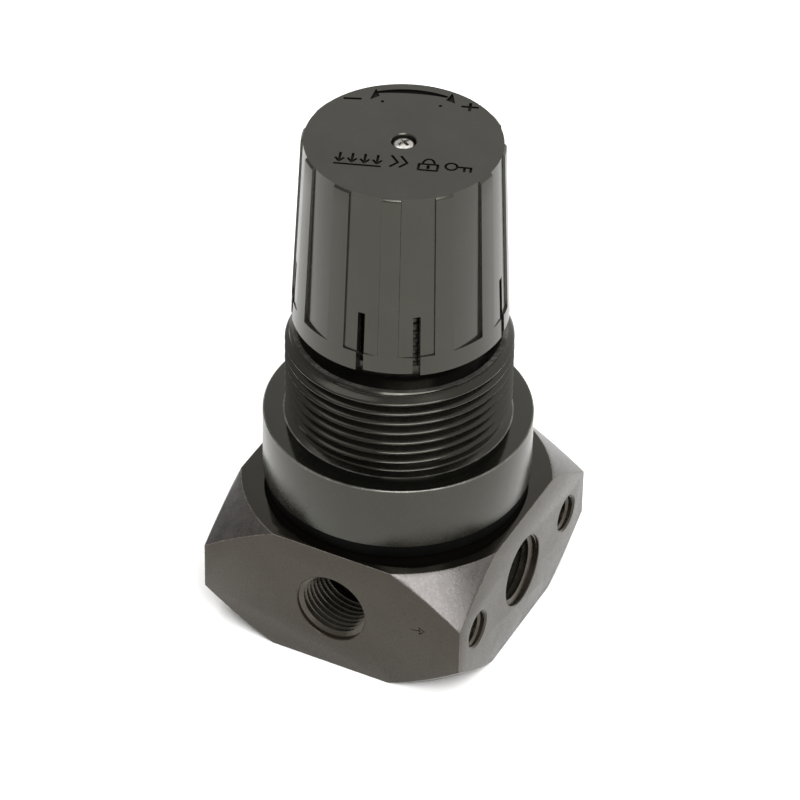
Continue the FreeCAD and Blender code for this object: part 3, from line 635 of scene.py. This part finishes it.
def knob_skin_tree():
    """Bends a flat sheet of (degrees, height, set radius) points into the knob.  Points with no
    set radius take the skin's own: a taper with a facet between each pair of ribs."""
    taper = (KNOB_FOOT_R - KNOB_EDGE_R) / (KNOB_EDGE - KNOB_FOOT)
    ledge_r = KNOB_FOOT_R - taper * (FACET_FOOT - KNOB_FOOT)
    tree, sizes, outputs = new_tree("knob skin", {
        "Turn": KNOB_TURN, "Foot": KNOB_FOOT, "Edge": KNOB_EDGE, "Top": KNOB_TOP,
        "Foot radius": KNOB_FOOT_R, "Edge radius": KNOB_EDGE_R, "Top radius": KNOB_TOP_R,
        "Facet foot": FACET_FOOT, "Facet half width": FACET_HALF, "Near depth": NEAR_DEPTH,
        "Front depth": FRONT_DEPTH, "Side depth": SIDE_DEPTH, "Last depth": LAST_DEPTH},
        takes_mesh=True)
    split = node(tree, "ShaderNodeSeparateXYZ",
                 {"Vector": node(tree, "GeometryNodeInputPosition").outputs[0]}).outputs
    height = split["Y"]
    fold = math_node(tree, "PINGPONG", split["X"], 90.0)
    off = math_node(tree, "SUBTRACT", math_node(tree, "MODULO", fold, 30.0), 15.0)
    # the ribs' skin: a taper, rounded over at the top and slightly at the foot
    over = ranged(tree, height, sizes["Edge"], sizes["Top"], 0.0, 1.0)
    skin = math_node(tree, "SUBTRACT",
                     ranged(tree, height, sizes["Foot"], sizes["Edge"], sizes["Foot radius"],
                            sizes["Edge radius"]),
                     math_node(tree, "MULTIPLY", math_node(tree, "POWER", over, 2.0),
                               math_node(tree, "SUBTRACT", sizes["Edge radius"],
                                         sizes["Top radius"])))
    skin = math_node(tree, "SUBTRACT", skin,
                     ranged(tree, height, sizes["Foot"],
                            math_node(tree, "ADD", sizes["Foot"], 0.12), 0.12, 0.0))
    # each facet starts close to the skin and sinks towards its far corner
    half = sizes["Facet half width"]
    far = ranged(tree, math_node(tree, "GREATER_THAN", fold, 30.0), 0.0, 1.0,
                 sizes["Front depth"], sizes["Side depth"])
    far = ranged(tree, math_node(tree, "GREATER_THAN", fold, 60.0), 0.0, 1.0,
                 far, sizes["Last depth"])
    sunk = ranged(tree, off, math_node(tree, "MULTIPLY", half, -1.0), half, sizes["Near depth"],
                  far)
    facet = ranged(tree, height, sizes["Facet foot"], sizes["Top"],
                   math_node(tree, "SUBTRACT", ledge_r, sunk), sizes["Top radius"])
    in_facet = math_node(tree, "LESS_THAN", math_node(tree, "ABSOLUTE", off),
                         math_node(tree, "ADD", half, 0.05))
    above = math_node(tree, "GREATER_THAN", height,
                      math_node(tree, "ADD", sizes["Facet foot"], 0.005))
    share = math_node(tree, "MULTIPLY", in_facet, above)
    faceted = ranged(tree, share, 0.0, 1.0, skin, math_node(tree, "MINIMUM", skin, facet))
    given = math_node(tree, "GREATER_THAN", split["Z"], 0.001)
    radius = ranged(tree, given, 0.0, 1.0, faceted, split["Z"])
    angle = math_node(tree, "ADD", math_node(tree, "RADIANS", split["X"]), sizes["Turn"])
    metres = round_axis(tree, radius, angle, height)
    moved = node(tree, "GeometryNodeSetPosition",
                 {"Geometry": sizes["Mesh"], "Position": metres}).outputs[0]
    welded = node(tree, "GeometryNodeMergeByDistance",
                  {"Geometry": moved, "Distance": 0.001 * MM}).outputs[0]
    end_tree(tree, welded, sizes, outputs)
    return tree


# ---------------------------------------------------------------- body block
def cone_radius(height):
    """Radius of the turned corners at a height."""
    middle = (BODY_TOP + BODY_FOOT) / 2
    return CONE_R + (BODY_TOP - BODY_FOOT) / 2 - abs(height - middle)


def hole_cutter(turn, offset, bore, mouth, depth, tip):
    """Drill shape for a hole into a side face: countersunk mouth, bore and point."""
    mesh = bmesh.new()
    flare = mouth - bore
    lathe(mesh, [(0, 2), (mouth, 2), (mouth, 0), (bore, -flare), (bore, -depth),
                 (0, -depth - tip)], closed=False, steps=64)
    place = (Matrix.Rotation(turn, 4, "Z") @ Matrix.Translation((offset, -BODY_HALF, PORT_HEIGHT))
             @ Matrix.Rotation(math.pi / 2, 4, "X"))
    bmesh.ops.transform(mesh, matrix=place, verts=mesh.verts)
    return to_object("drill", mesh, [BLOCK])


def bar_cutter(outline, place):
    """Round drill shape for a passage between two bores."""
    mesh = bmesh.new()
    lathe(mesh, outline, closed=False, steps=48)
    bmesh.ops.transform(mesh, matrix=place, verts=mesh.verts)
    return to_object("drill", mesh, [BLOCK])


def corner_arcs(mesh, height):
    """Points of the four turned corners at a height, each arc running from face to face."""
    radius = min(cone_radius(height), BODY_HALF * math.sqrt(2))
    half_angle = math.acos(min(1.0, BODY_HALF / radius))
    arc = [math.pi / 4]
    if math.pi / 4 - half_angle >= 1e-4:
        arc = [half_angle + (math.pi / 2 - 2 * half_angle) * k / CORNER_STEPS
               for k in range(CORNER_STEPS + 1)]
    return [[mesh.verts.new((radius * math.sin(a + side * math.pi / 2),
                             -radius * math.cos(a + side * math.pi / 2), height)) for a in arc]
            for side in range(4)]


def close_end(mesh, outer, bore):
    """Flat face at one end of the bar, between its outline and the bore in its middle."""
    edges = []
    for chain in (outer, bore):
        for k, vert in enumerate(chain):
            other = chain[(k + 1) % len(chain)]
            edges.append(mesh.edges.get((vert, other)) or mesh.edges.new((vert, other)))
    made = bmesh.ops.triangle_fill(mesh, edges=edges, use_beauty=True)["geom"]
    bmesh.ops.dissolve_limit(mesh, angle_limit=0.001, verts=[], edges=[
        item for item in made if isinstance(item, bmesh.types.BMEdge)])


def block_shell():
    """Square bar with turned corners, the boss above it and the bores through its middle."""
    mesh = bmesh.new()
    drop = BODY_HALF * math.sqrt(2) - CONE_R
    upper = [BODY_TOP - drop * (k / 10) for k in range(11)]
    heights = upper + [BODY_FOOT + BODY_TOP - z for z in reversed(upper)]
    rings = [corner_arcs(mesh, height) for height in heights]
    for side in range(4):
        # side face: up the curve on its right, back down the one on its left
        right = [ring[side][0] for ring in rings]
        left = [ring[side - 1][-1] for ring in rings]
        mesh.faces.new(right + list(reversed(left)))
        for first, second in zip(rings, rings[1:]):
            a, b = first[side], second[side]
            if len(a) == 1 and len(b) == 1:
                continue
            for k in range(CORNER_STEPS):
                corners = [a[min(k, len(a) - 1)], a[min(k + 1, len(a) - 1)],
                           b[min(k + 1, len(b) - 1)], b[min(k, len(b) - 1)]]
                mesh.faces.new(list(dict.fromkeys(corners))).material_index = 2
    inner = lathe(mesh, eased([
        (BOSS_R, BODY_TOP), (BOSS_R, BOSS_TOP, 0.3), (CHAMBER_R, BOSS_TOP, 0.2),
        (CHAMBER_R, CHAMBER_FLOOR), (SEAT_BORE_R, CHAMBER_FLOOR), (SEAT_BORE_R, SEAT_SHELF),
        (VALVE_BORE_R, SEAT_SHELF), (VALVE_BORE_R, PLUG_THREAD_TOP),
        (PLUG_THREAD_R, PLUG_THREAD_TOP), (PLUG_THREAD_R, 0.3),
        (PLUG_THREAD_R + 0.3, BODY_FOOT)], closed=False),
        closed=False, steps=96)
    for ring, loop in ((rings[0], inner[0]), (rings[-1], inner[-1])):
        close_end(mesh, [vert for arc in ring for vert in arc], loop)
    bmesh.ops.recalc_face_normals(mesh, faces=mesh.faces)
    rim = [edge for edge in mesh.edges if len(edge.link_faces) == 2
           and edge.calc_face_angle() > math.radians(25)
           and max(vert.co.to_2d().length for vert in edge.verts) > BOSS_R + 0.6]
    # the bevels take the edge finish: partly wear, partly painted highlight
    bmesh.ops.bevel(mesh, geom=rim, offset=0.14, segments=2, affect="EDGES", profile=0.5,
                    clamp_overlap=True, material=1)
    # the flat top faces take the finish of painted shade
    for face in mesh.faces:
        if face.normal.z > 0.99 and face.calc_center_median().z > BODY_TOP - 0.01:
            face.material_index = 3
    return to_object("body_block_skin", mesh, [BLOCK, BLOCK_EDGE_WEAR_AND_HIGHLIGHT, CONE, SHADED_BLOCK_TOP])


def make_body_block():
    """Bar with its ports, fixing holes, passages and flow arrow, and a thread in each hole."""
    shell = block_shell()
    quarter = math.pi / 2
    drills = [hole_cutter(k * quarter, 0, PORT_R, PORT_R + 0.1, PORT_DEPTH, PORT_TIP)
              for k in range(4)]
    drills += [hole_cutter(quarter + k * math.pi, side * FIXING_OFFSET, FIXING_R, FIXING_R + 0.25,
                           FIXING_DEPTH, FIXING_TIP) for k in range(2) for side in (-1, 1)]
    # the inlet feeds the valve's bore; the other ports rise into the chamber
    feed = Matrix.Translation((0, 0.8 - VALVE_BORE_R, PORT_HEIGHT)) @ Matrix.Rotation(quarter, 4, "X")
    drills.append(bar_cutter([(0, 0), (FEED_R, 0), (FEED_R, PORT_DEPTH), (0, PORT_DEPTH)], feed))
    riser = [(0, PORT_HEIGHT), (RISER_R, PORT_HEIGHT), (RISER_R, CHAMBER_FLOOR + 1),
             (0, CHAMBER_FLOOR + 1)]
    for x, y in ((0, 1), (-1, 0), (1, 0)):
        out = Matrix.Translation((RISER_OUT * x, RISER_OUT * y, 0))
        drills.append(bar_cutter(riser, out))
    drills.append(flow_arrow())
    block = cut(shell, drills)
    tree = tapped_thread_tree()
    coils = [run_tree("port thread", tree, {"Finish": TAPPED, "Set in": 0.42})]
    for side in (-1, 1):
        coils.append(run_tree("fixing thread", tree, {
            "Finish": TAPPED, "Bore radius": FIXING_R, "Ridge": 0.32, "Pitch": FIXING_PITCH,
            "Turns": 8.5, "Set in": 0.37, "Offset": side * FIXING_OFFSET, "Faces": 2,
            "First turn": quarter}))
    return seat(joined("ported_body", [block] + coils), "housing", "anodised_body", "body_block")


def bar_between(mesh, start, end, width, low, high, pointed=0.0):
    """Straight bar with square ends between two points, for cutting a stroke."""
    start, end = Vector(start), Vector(end)
    along = (end - start).normalized()
    aside = Vector((-along.y, along.x)) * width / 2
    corners = [start - aside - along * pointed, end - aside + along * pointed,
               end + aside + along * pointed, start + aside - along * pointed]
    return prism(mesh, corners, low, high)


def prism(mesh, corners, low, high):
    """Upright solid on a flat outline."""
    foot = [mesh.verts.new((c[0], c[1], low)) for c in corners]
    top = [mesh.verts.new((c[0], c[1], high)) for c in corners]
    mesh.faces.new(list(reversed(foot)))
    mesh.faces.new(top)
    count = len(corners)
    for k in range(count):
        mesh.faces.new((foot[k], foot[(k + 1) % count], top[(k + 1) % count], top[k]))


def flow_arrow():
    """Small stamped arrow on the inlet face that points along the flow."""
    mesh = bmesh.new()
    tail, waist, tip, upper_barb, lower_barb = (
        (-0.95, -0.1), (0.35, 0.1), (0.95, 0.2), (0.15, 0.62), (0.25, -0.45))
    strokes = ((tail, waist), (tip, upper_barb), (tip, lower_barb), (upper_barb, (0.3, -0.4)))
    for start, end in strokes:
        bar_between(mesh, start, end, 0.13, -0.06, 0.2, pointed=0.05)
    place = (Matrix.Translation((12.9, -BODY_HALF, 10.9)) @ Matrix.Rotation(math.pi / 2, 4, "X"))
    bmesh.ops.transform(mesh, matrix=place, verts=mesh.verts)
    return to_object("arrow stamp", mesh, [BLOCK])


# ---------------------------------------------------------------- bonnet
def make_bonnet():
    """Collar, neck and bores as one turned shell, closed by the skin of the panel thread."""
    thread = run_tree("panel thread", panel_thread_tree(),
                      {"Finish": SHADED_THREAD, "Edge finish": THREAD_CREST_WEAR_AND_HIGHLIGHT})
    mesh = bmesh.new()

    def slot(first, second):
        """Finish of the band between two corners: worn edges with painted highlight, faced top in
        painted shade, relief in the thread's painted-shade finish.
        """
        low = min(first[1], second[1])
        inner, outer = sorted((first[0], second[0]))
        if low >= COLLAR_TOP - 0.21 and inner > 17.7:
            return 1
        if low >= COLLAR_TOP - 0.001 and outer <= RELIEF_FOOT_R + 0.11 and inner > 15.05:
            return 1
        if low > THREAD_TOP - 0.25 and inner > GROOVE_R:
            return 1
        if abs(first[1] - COLLAR_TOP) < 0.001 and abs(second[1] - COLLAR_TOP) < 0.001:
            return 3
        if low >= COLLAR_TOP and inner < RELIEF_FOOT_R:
            return 2
        return 0

    lathe(mesh, eased([
        (THREAD_ROOT_R, THREAD_TOP), (13.5, THREAD_TOP), (13.3, THREAD_TOP - 0.2),
        (GROOVE_R, GROOVE_FLOOR), (NECK_R, GROOVE_FLOOR), (NECK_R, NECK_TOP, 0.2),
        (NECK_BORE_R, NECK_TOP, 0.2), (NECK_BORE_R, NECK_FLOOR), (SPINDLE_BORE_R, NECK_FLOOR),
        (SPINDLE_BORE_R, SPINDLE_ROOF), (SPRING_BORE_R, SPINDLE_ROOF),
        (SPRING_BORE_R, CLAMP_ROOF), (CLAMP_R, CLAMP_ROOF), (CLAMP_R, GASKET_TOP),
        (COLLAR_R, GASKET_TOP, 0.14), (COLLAR_R, COLLAR_TOP, 0.2),
        (RELIEF_FOOT_R, COLLAR_TOP, 0.1), (THREAD_ROOT_R, COLLAR_TOP + 0.45, 0.2),
        (THREAD_ROOT_R, THREAD_FOOT)], closed=False), closed=False, edge_faces=slot)
    turned = to_object("bonnet core", mesh, [TURNED, TURNED_EDGE_WEAR_AND_HIGHLIGHT, SHADED_THREAD, SHADED_COLLAR_TOP],
                       recalculate=False)
    rings = run_tree("detent rings", stacked_rings_tree(), {"Finish": SHADED_THREAD})
    made = joined("bonnet shell", [turned, thread])
    shell = bmesh.new()
    shell.from_mesh(made.data)
    bmesh.ops.remove_doubles(shell, verts=shell.verts, dist=0.003 * MM)
    bmesh.ops.recalc_face_normals(shell, faces=shell.faces)
    shell.to_mesh(made.data)
    shell.free()
    return seat(joined("threaded_bonnet", [made, rings]), "housing", "anodised_bonnet", "bonnet")


def make_gasket():
    mesh = bmesh.new()
    inner, outer = 16.5, 17.6
    lathe(mesh, eased([
        (inner, gasket_low.z), (outer, gasket_low.z, 0.25), (outer, gasket_high.z, 0.25),
        (inner, gasket_high.z)]))
    return seat(to_object("sealing_ring", mesh, [RUBBER]), "housing", "black_rubber",
                "bonnet_gasket")


# ---------------------------------------------------------------- knob
def knob_columns():
    """Angles round the knob, in degrees from its front, closest together at ribs and slots."""
    marks = {0.0, 30.0, 60.0, 90.0}
    for middle in FACET_MIDDLES:
        for side in (-1, 1):
            marks.add(middle + side * FACET_HALF)
            marks.add(middle + side * (FACET_HALF + FACET_WALL))
    for middle in (15, 75):
        marks.update((middle - SLOT_HALF, middle + SLOT_HALF))
    quarter = sorted(marks)
    fine = []
    for first, second in zip(quarter, quarter[1:]):
        pieces = max(1, math.ceil((second - first) / 2.6))
        fine += [first + (second - first) * k / pieces for k in range(pieces)]
    half = fine + [90.0] + [180 - angle for angle in reversed(fine)]
    return [-angle for angle in reversed(half[1:])] + half


def in_slot(angle):
    return any(abs(abs(angle) - middle) < SLOT_HALF - 0.01 for middle in (15, 75, 105, 165))


def in_finger(angle):
    return min(abs(angle - middle) for middle in (-180, -90, 0, 90, 180)) < 15 - SLOT_HALF + 0.01


def knob_rows():
    """Height and set radius of each ring of the knob's section, and how many cross the slots."""
    # heights that the outside of the slotted skirt and its bore have in common
    skirt = [KNOB_FOOT, KNOB_FOOT + 0.12, BEAD_FOOT, BEAD_FOOT + BEAD_SLOPE,
             BEAD_TOP - BEAD_SLOPE, BEAD_TOP, FACET_FOOT, FACET_FOOT + 0.03, 51.4, 53.4]
    beaded = skirt[3:5]
    taper = [SLOT_TOP, 58, 61, 64, 67, 70, KNOB_EDGE, KNOB_EDGE + 0.14, KNOB_EDGE + 0.27, KNOB_TOP]
    rows = ([(z, 0) for z in skirt + taper]
            + [(KNOB_TOP, r) for r in (12.2, 10.5, 8.5, 6.5, 4.5, 2.8, RECESS_R + 0.12)]
            + [(KNOB_TOP - 0.12, RECESS_R), (RECESS_FLOOR, RECESS_R), (RECESS_FLOOR, SCREW_BORE_R),
               (SHELL_ROOF, SCREW_BORE_R), (SHELL_ROOF, "hexagon"), (HUB_FOOT, "hexagon"),
               (HUB_FOOT, HUB_R), (SHELL_ROOF, HUB_R), (SHELL_ROOF, SHELL_BORE_R),
               (SKIRT_TOP, SHELL_BORE_R), (SKIRT_TOP - 0.01, SKIRT_BORE_R),
               (SLOT_TOP, SKIRT_BORE_R)]
            + [(z, "bead" if z in beaded else SKIRT_BORE_R) for z in reversed(skirt)])
    return rows, len(skirt)


def slot_walls(mesh, grid, columns, skin_rows):
    """Walls and roofs of the slots, between the skin and the bore."""
    skin = grid[:skin_rows + 1]
    bore = [grid[-1 - k] for k in range(skin_rows + 1)]
    last = len(columns) - 1
    for c in range(len(columns)):
        here = [0 <= k < last and in_slot((columns[k] + columns[k + 1]) / 2) for k in (c - 1, c)]
        if here[0] != here[1]:
            for k in range(skin_rows):
                mesh.faces.new((skin[k][c], skin[k + 1][c], bore[k + 1][c], bore[k][c]))
        if here[1]:
            mesh.faces.new((skin[-1][c], skin[-1][c + 1], bore[-1][c + 1], bore[-1][c]))


def knob_sheet():
    """Flat sheet of the knob's whole surface, its points (degrees, height, set radius)."""
    rows, skin_rows = knob_rows()
    columns = knob_columns()
    count = len(rows)
    mesh = bmesh.new()
    grid = []
    for height, radius in rows:
        line = []
        for angle in columns:
            z, r = height, radius
            if z < KNOB_FOOT + 0.2 and in_finger(angle):
                z += FINGER_LIFT
            if r == "hexagon":
                r = HEXAGON_HALF / math.cos(math.radians((angle + 30) % 60 - 30))
            elif r == "bead":
                r = BEAD_R if in_finger(angle) else SKIRT_BORE_R
            line.append(mesh.verts.new((angle, z, r)))
        grid.append(line)
    for k in range(count):
        after = (k + 1) % count
        slotted = max(rows[k][0], rows[after][0]) <= SLOT_TOP and (
            min(k, after) <= skin_rows or max(k, after) > count // 2)
        for c in range(len(columns) - 1):
            middle = (columns[c] + columns[c + 1]) / 2
            if slotted and in_slot(middle):
                continue
            mesh.faces.new((grid[k][c], grid[k][c + 1], grid[after][c + 1], grid[after][c]))
    slot_walls(mesh, grid, columns, skin_rows)
    loose = [vert for vert in mesh.verts if not vert.link_faces]
    bmesh.ops.delete(mesh, geom=loose, context="VERTS")
    return placed("knob sheet", filled("knob sheet", mesh, []))


def knob_marks():
    """Cutter for the marks on the top: less and more on an arc, and a row about the lock."""
    mesh = bmesh.new()
    low, high = KNOB_TOP - 0.3, KNOB_TOP + 0.4

    def on_arc(radius, degrees):
        turn = math.radians(degrees)
        return Vector((radius * math.sin(turn), -radius * math.cos(turn)))

    def stroke(points, width=0.34):
        points = [Vector(point) for point in points]
        for first, second in zip(points, points[1:]):
            bar_between(mesh, first, second, width, low, high, pointed=width * 0.2)

    # arc that swells in its middle, with an arrow head at each end and a dot under each
    turns = [k / 24 for k in range(25)]
    prism(mesh, [on_arc(11.6, 157 + 49 * t) for t in turns]
          + [on_arc(11.2 - 0.55 * math.sin(math.pi * t), 157 + 49 * t) for t in reversed(turns)],
          low, high)
    for head in (((-5.4, 8.6), (-4.25, 9.6), (-4.9, 11.2)), ((5.55, 9.2), (5.0, 11.5), (4.3, 9.8))):
        prism(mesh, [Vector(corner) for corner in head], low, high + 0.1)
    for angle in (156, 204):
        centre = on_arc(9.2, angle)
        prism(mesh, [centre + Vector((0.24 * math.cos(k * math.pi / 4),
                                      0.24 * math.sin(k * math.pi / 4))) for k in range(8)],
              low, high)
    # minus and plus
    stroke([(-8.7, 8.45), (-6.55, 8.6)], 0.42)
    stroke([(6.49, 8.68), (8.59, 8.68)], 0.4)
    stroke([(7.54, 7.83), (7.54, 9.53)], 0.4)
    # push down: arrows onto a bar
    foot, head, middle = -6.0, -3.6, -4.8
    stroke([(-8.2, foot), (-2.3, foot)])
    for x in (-7.6, -6.0, -4.4, -2.8):
        stroke([(x, head), (x, foot + 0.55)])
        for side in (-1, 1):
            stroke([(x + side * 0.55, foot + 1.3), (x, foot + 0.5)], 0.3)
    # leads to
    for x in (-0.7, 0.5):
        stroke([(x - 0.4, head + 0.2), (x + 0.5, middle), (x - 0.4, foot + 0.2)])
    # shut padlock, and a key
    stroke([(2.5, foot), (4.9, foot), (4.9, middle + 0.1), (2.5, middle + 0.1), (2.5, foot)])
    stroke([(3.7 + 0.75 * math.cos(math.pi * k / 8),
             middle + 0.15 + 1.1 * math.sin(math.pi * k / 8)) for k in range(9)], 0.3)
    stroke([(3.7, foot + 0.35), (3.7, middle - 0.2)], 0.4)
    stroke([(6.6 + 0.75 * math.cos(math.pi * k / 6), middle + 0.75 * math.sin(math.pi * k / 6))
            for k in range(-6, 7)], 0.32)
    stroke([(7.3, middle), (9.2, middle)])
    for x in (8.3, 9.1):
        stroke([(x, middle), (x, middle - 0.9)])
    bmesh.ops.rotate(mesh, verts=mesh.verts, cent=(0, 0, 0),
                     matrix=Matrix.Rotation(KNOB_TURN, 3, "Z"))
    return to_object("marks stamp", mesh, [SHADED_MARKS])


def make_knob():
    """Knob with its facets, slots and hub in one skin, and its marks cut into the top."""
    knob = run_tree("knob_skin", knob_skin_tree(), {"Finish": MOULDED}, start=knob_sheet())
    mesh = bmesh.new()
    mesh.from_mesh(knob.data)
    bmesh.ops.recalc_face_normals(mesh, faces=mesh.faces)
    mesh.to_mesh(knob.data)
    mesh.free()
    # the cut walls and floors of the marks take their finish of painted shade
    knob = cut(knob, [knob_marks()])
    knob.name = "grip"
    return seat(knob, "knob", "knob_plastic", "knob")


def make_knob_screw():
    """Retaining screw with a rounded head and a cross recess."""
    mesh = bmesh.new()
    dome = [(HEAD_R * math.cos(math.pi / 2 * k / 10),
             HEAD_EDGE + HEAD_DOME * math.sin(math.pi / 2 * k / 10)) for k in range(11)]
    dome[-1] = (0, dome[-1][1])
    lathe(mesh, [(0, SCREW_FOOT), (SHANK_R - 0.2, SCREW_FOOT), (SHANK_R, SCREW_FOOT + 0.2),
                 (SHANK_R, RECESS_FLOOR), (HEAD_R - 0.08, RECESS_FLOOR),
                 (HEAD_R, RECESS_FLOOR + 0.1)] + dome, closed=False, steps=64)
    head = to_object("screw blank", mesh, [BRIGHT_STEEL])
    recess = bmesh.new()
    for k in range(2):
        turn = KNOB_TURN + math.radians(45) + k * math.pi / 2
        along = Vector((math.cos(turn), math.sin(turn), 0))
        aside = Vector((-along.y, along.x, 0))
        corners = []
        for half_length, half_width, height in ((CROSS_LENGTH, CROSS_WIDTH, KNOB_TOP + 0.1),
                                                (0.3, 0.14, CROSS_FOOT)):
            corners.append([recess.verts.new(along * (a * half_length) + aside * (b * half_width)
                                             + Vector((0, 0, height)))
                            for a, b in ((-1, -1), (1, -1), (1, 1), (-1, 1))])
        recess.faces.new(corners[0])
        recess.faces.new(list(reversed(corners[1])))
        for here in range(4):
            after = (here + 1) % 4
            recess.faces.new((corners[0][here], corners[1][here], corners[1][after],
                              corners[0][after]))
    screw = cut(head, [to_object("driver", recess, [BRIGHT_STEEL])])
    screw.name = "retaining_screw"
    return seat(screw, "spindle", "bright_steel", "knob_screw")


# ---------------------------------------------------------------- springs
def make_springs():
    """Both springs as round-wire coils, set on the housing in place of the designed ones."""
    tree = coil_spring_tree()
    for name, designed, wire_r, turns, joint, travel in (
            ("range_coil", "range_spring", 0.8, 5.0, "nut_travel", NUT_TRAVEL),
            ("valve_coil", "valve_spring", 0.3, 5.5, "valve_stroke", VALVE_STROKE)):
        low, high = limits(designed)
        coil = run_tree(name, tree, {
            "Finish": SPRING_STEEL, "Foot": low.z, "Top": high.z, "Wire radius": wire_r,
            "Mean radius": high.y - wire_r, "Turns": turns})
        seat(coil, "housing", "spring_steel", designed)
        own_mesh(coil)


# ---------------------------------------------------------------- diaphragm
def make_diaphragm():
    """Rubber disc with a flat middle, a sloping ring and a raised flat rim, in place of the designed
    one.
    """
    low, high = limits("diaphragm")
    thick, bore = 0.8, 2.5
    middle_top, rim_foot = low.z + thick, high.z - thick
    slope_in, slope_out, slant = 9.3, 12.1, 0.35
    steps = 6

    def slope(first, last):
        return [tuple(a + (b - a) * k / steps for a, b in zip(first, last))
                for k in range(steps + 1)]

    mesh = bmesh.new()
    lathe(mesh, [(bore, low.z)] + slope((slope_in + slant, low.z), (slope_out, rim_foot))
          + [(high.y, rim_foot), (high.y, high.z)]
          + slope((slope_out - slant, high.z), (slope_in, middle_top)) + [(bore, middle_top)])
    made = smooth(to_object("bending_diaphragm", mesh, [RUBBER]))
    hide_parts("diaphragm")
    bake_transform(made)


# ---------------------------------------------------------------- the pieces kept as designed
def dress(material, slot, *nodes):
    """Gives designed pieces their finish; the slot argument is not used."""
    for name in nodes:
        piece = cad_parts[name]
        piece.data.materials.clear()
        piece.data.materials.append(material)


make_body_block()
make_gasket()
make_bonnet()
make_knob()
make_knob_screw()
make_springs()
make_diaphragm()
dress(BRIGHT_STEEL, "bright_steel", "adjusting_screw")
dress(PLATED_STEEL, "plated_steel", "diaphragm_plate")
dress(BRASS, "brass", "spring_nut", "relief_hub", "hub_nut", "valve_seat", "slip_ring",
      "valve_stem", "bottom_plug")
dress(RUBBER, "black_rubber", "poppet_disc", "seat_o_ring", "tail_o_ring", "plug_o_ring")
dress(NYLON, "white_nylon", "thrust_washer")


# ---------------------------------------------------------------- floor, light and camera
def make_floor():
    mesh = bmesh.new()
    bmesh.ops.create_circle(mesh, cap_ends=True, segments=64, radius=4.0)
    pale = finish("pale floor", (0.9, 0.9, 0.9), (0.93, 0.93, 0.93), (0.75, 0.8), grain=2.0,
                  grain_depth=0.002, cloud=60.0)
    floor = placed("floor", filled("floor", mesh, [pale]))
    # a hair below the foot, so that the two flat faces don't lie in one plane
    floor.location.z = -0.02 * MM


def from_side(azimuth, elevation):
    """Direction that points from the object out to a place round it, in degrees."""
    a, e = math.radians(azimuth), math.radians(elevation)
    return Vector((math.sin(a) * math.cos(e), -math.cos(a) * math.cos(e), math.sin(e)))


def panel_light(name, azimuth, elevation, distance, side, watts):
    """Square lamp that faces the object's middle; sides in metres."""
    light = bpy.data.lights.new(name, "AREA")
    light.shape = "RECTANGLE"
    light.size, light.size_y, light.energy = side, side, watts
    lamp = placed(name, light)
    back = from_side(azimuth, elevation)
    lamp.location = Vector((0, 0, 0.035)) + back * distance
    lamp.rotation_mode = "QUATERNION"
    lamp.rotation_quaternion = back.to_track_quat("Z", "Y")


def make_light():
    """Wide pale surround, dimmer on the left, with a soft key from the right."""
    world = bpy.data.worlds.new("studio")
    bpy.context.scene.world = world
    world.use_nodes = True
    tree = world.node_tree
    tree.nodes["Background"].inputs["Color"].default_value = (1.0, 0.99, 0.97, 1)
    facing = node(tree, "ShaderNodeVectorMath",
                  {0: tree.nodes.new("ShaderNodeTexCoord").outputs["Generated"],
                   1: (0.8, 0.6, 0.0)}, operation="DOT_PRODUCT").outputs["Value"]
    wire(tree, ranged(tree, facing, -1.0, 1.0, 0.4, 1.45),
         tree.nodes["Background"].inputs["Strength"])
    panel_light("key", 50, 47, 0.9, 0.45, 5.6)
    panel_light("front", 20, 50, 1.0, 0.3, 3.2)
    panel_light("left", -78, 65, 1.0, 0.5, 1.6)
    panel_light("back", 180, 75, 1.0, 0.7, 1.5)


def make_camera():
    """Long lens above the front corner, tipped a little to one side."""
    azimuth, elevation, roll, distance = 26.22, 38.14, math.radians(1.19), 0.6133
    aim = Vector((0, 0, 0.0315))
    back = from_side(azimuth, elevation)
    right = from_side(azimuth + 90, 0)
    up = back.cross(right)
    across = right * math.cos(roll) + up * math.sin(roll)
    upright = up * math.cos(roll) - right * math.sin(roll)
    data = bpy.data.cameras.new("camera")
    data.sensor_width, data.lens = 36, 208.4
    camera = placed("camera", data)
    place = Matrix((across, upright, back)).transposed().to_4x4()
    place.translation = aim + right * 0.0002 + back * distance
    camera.matrix_world = place
    bpy.context.scene.camera = camera


make_floor()
make_light()
make_camera()
bpy.context.scene.view_settings.view_transform = "Standard"
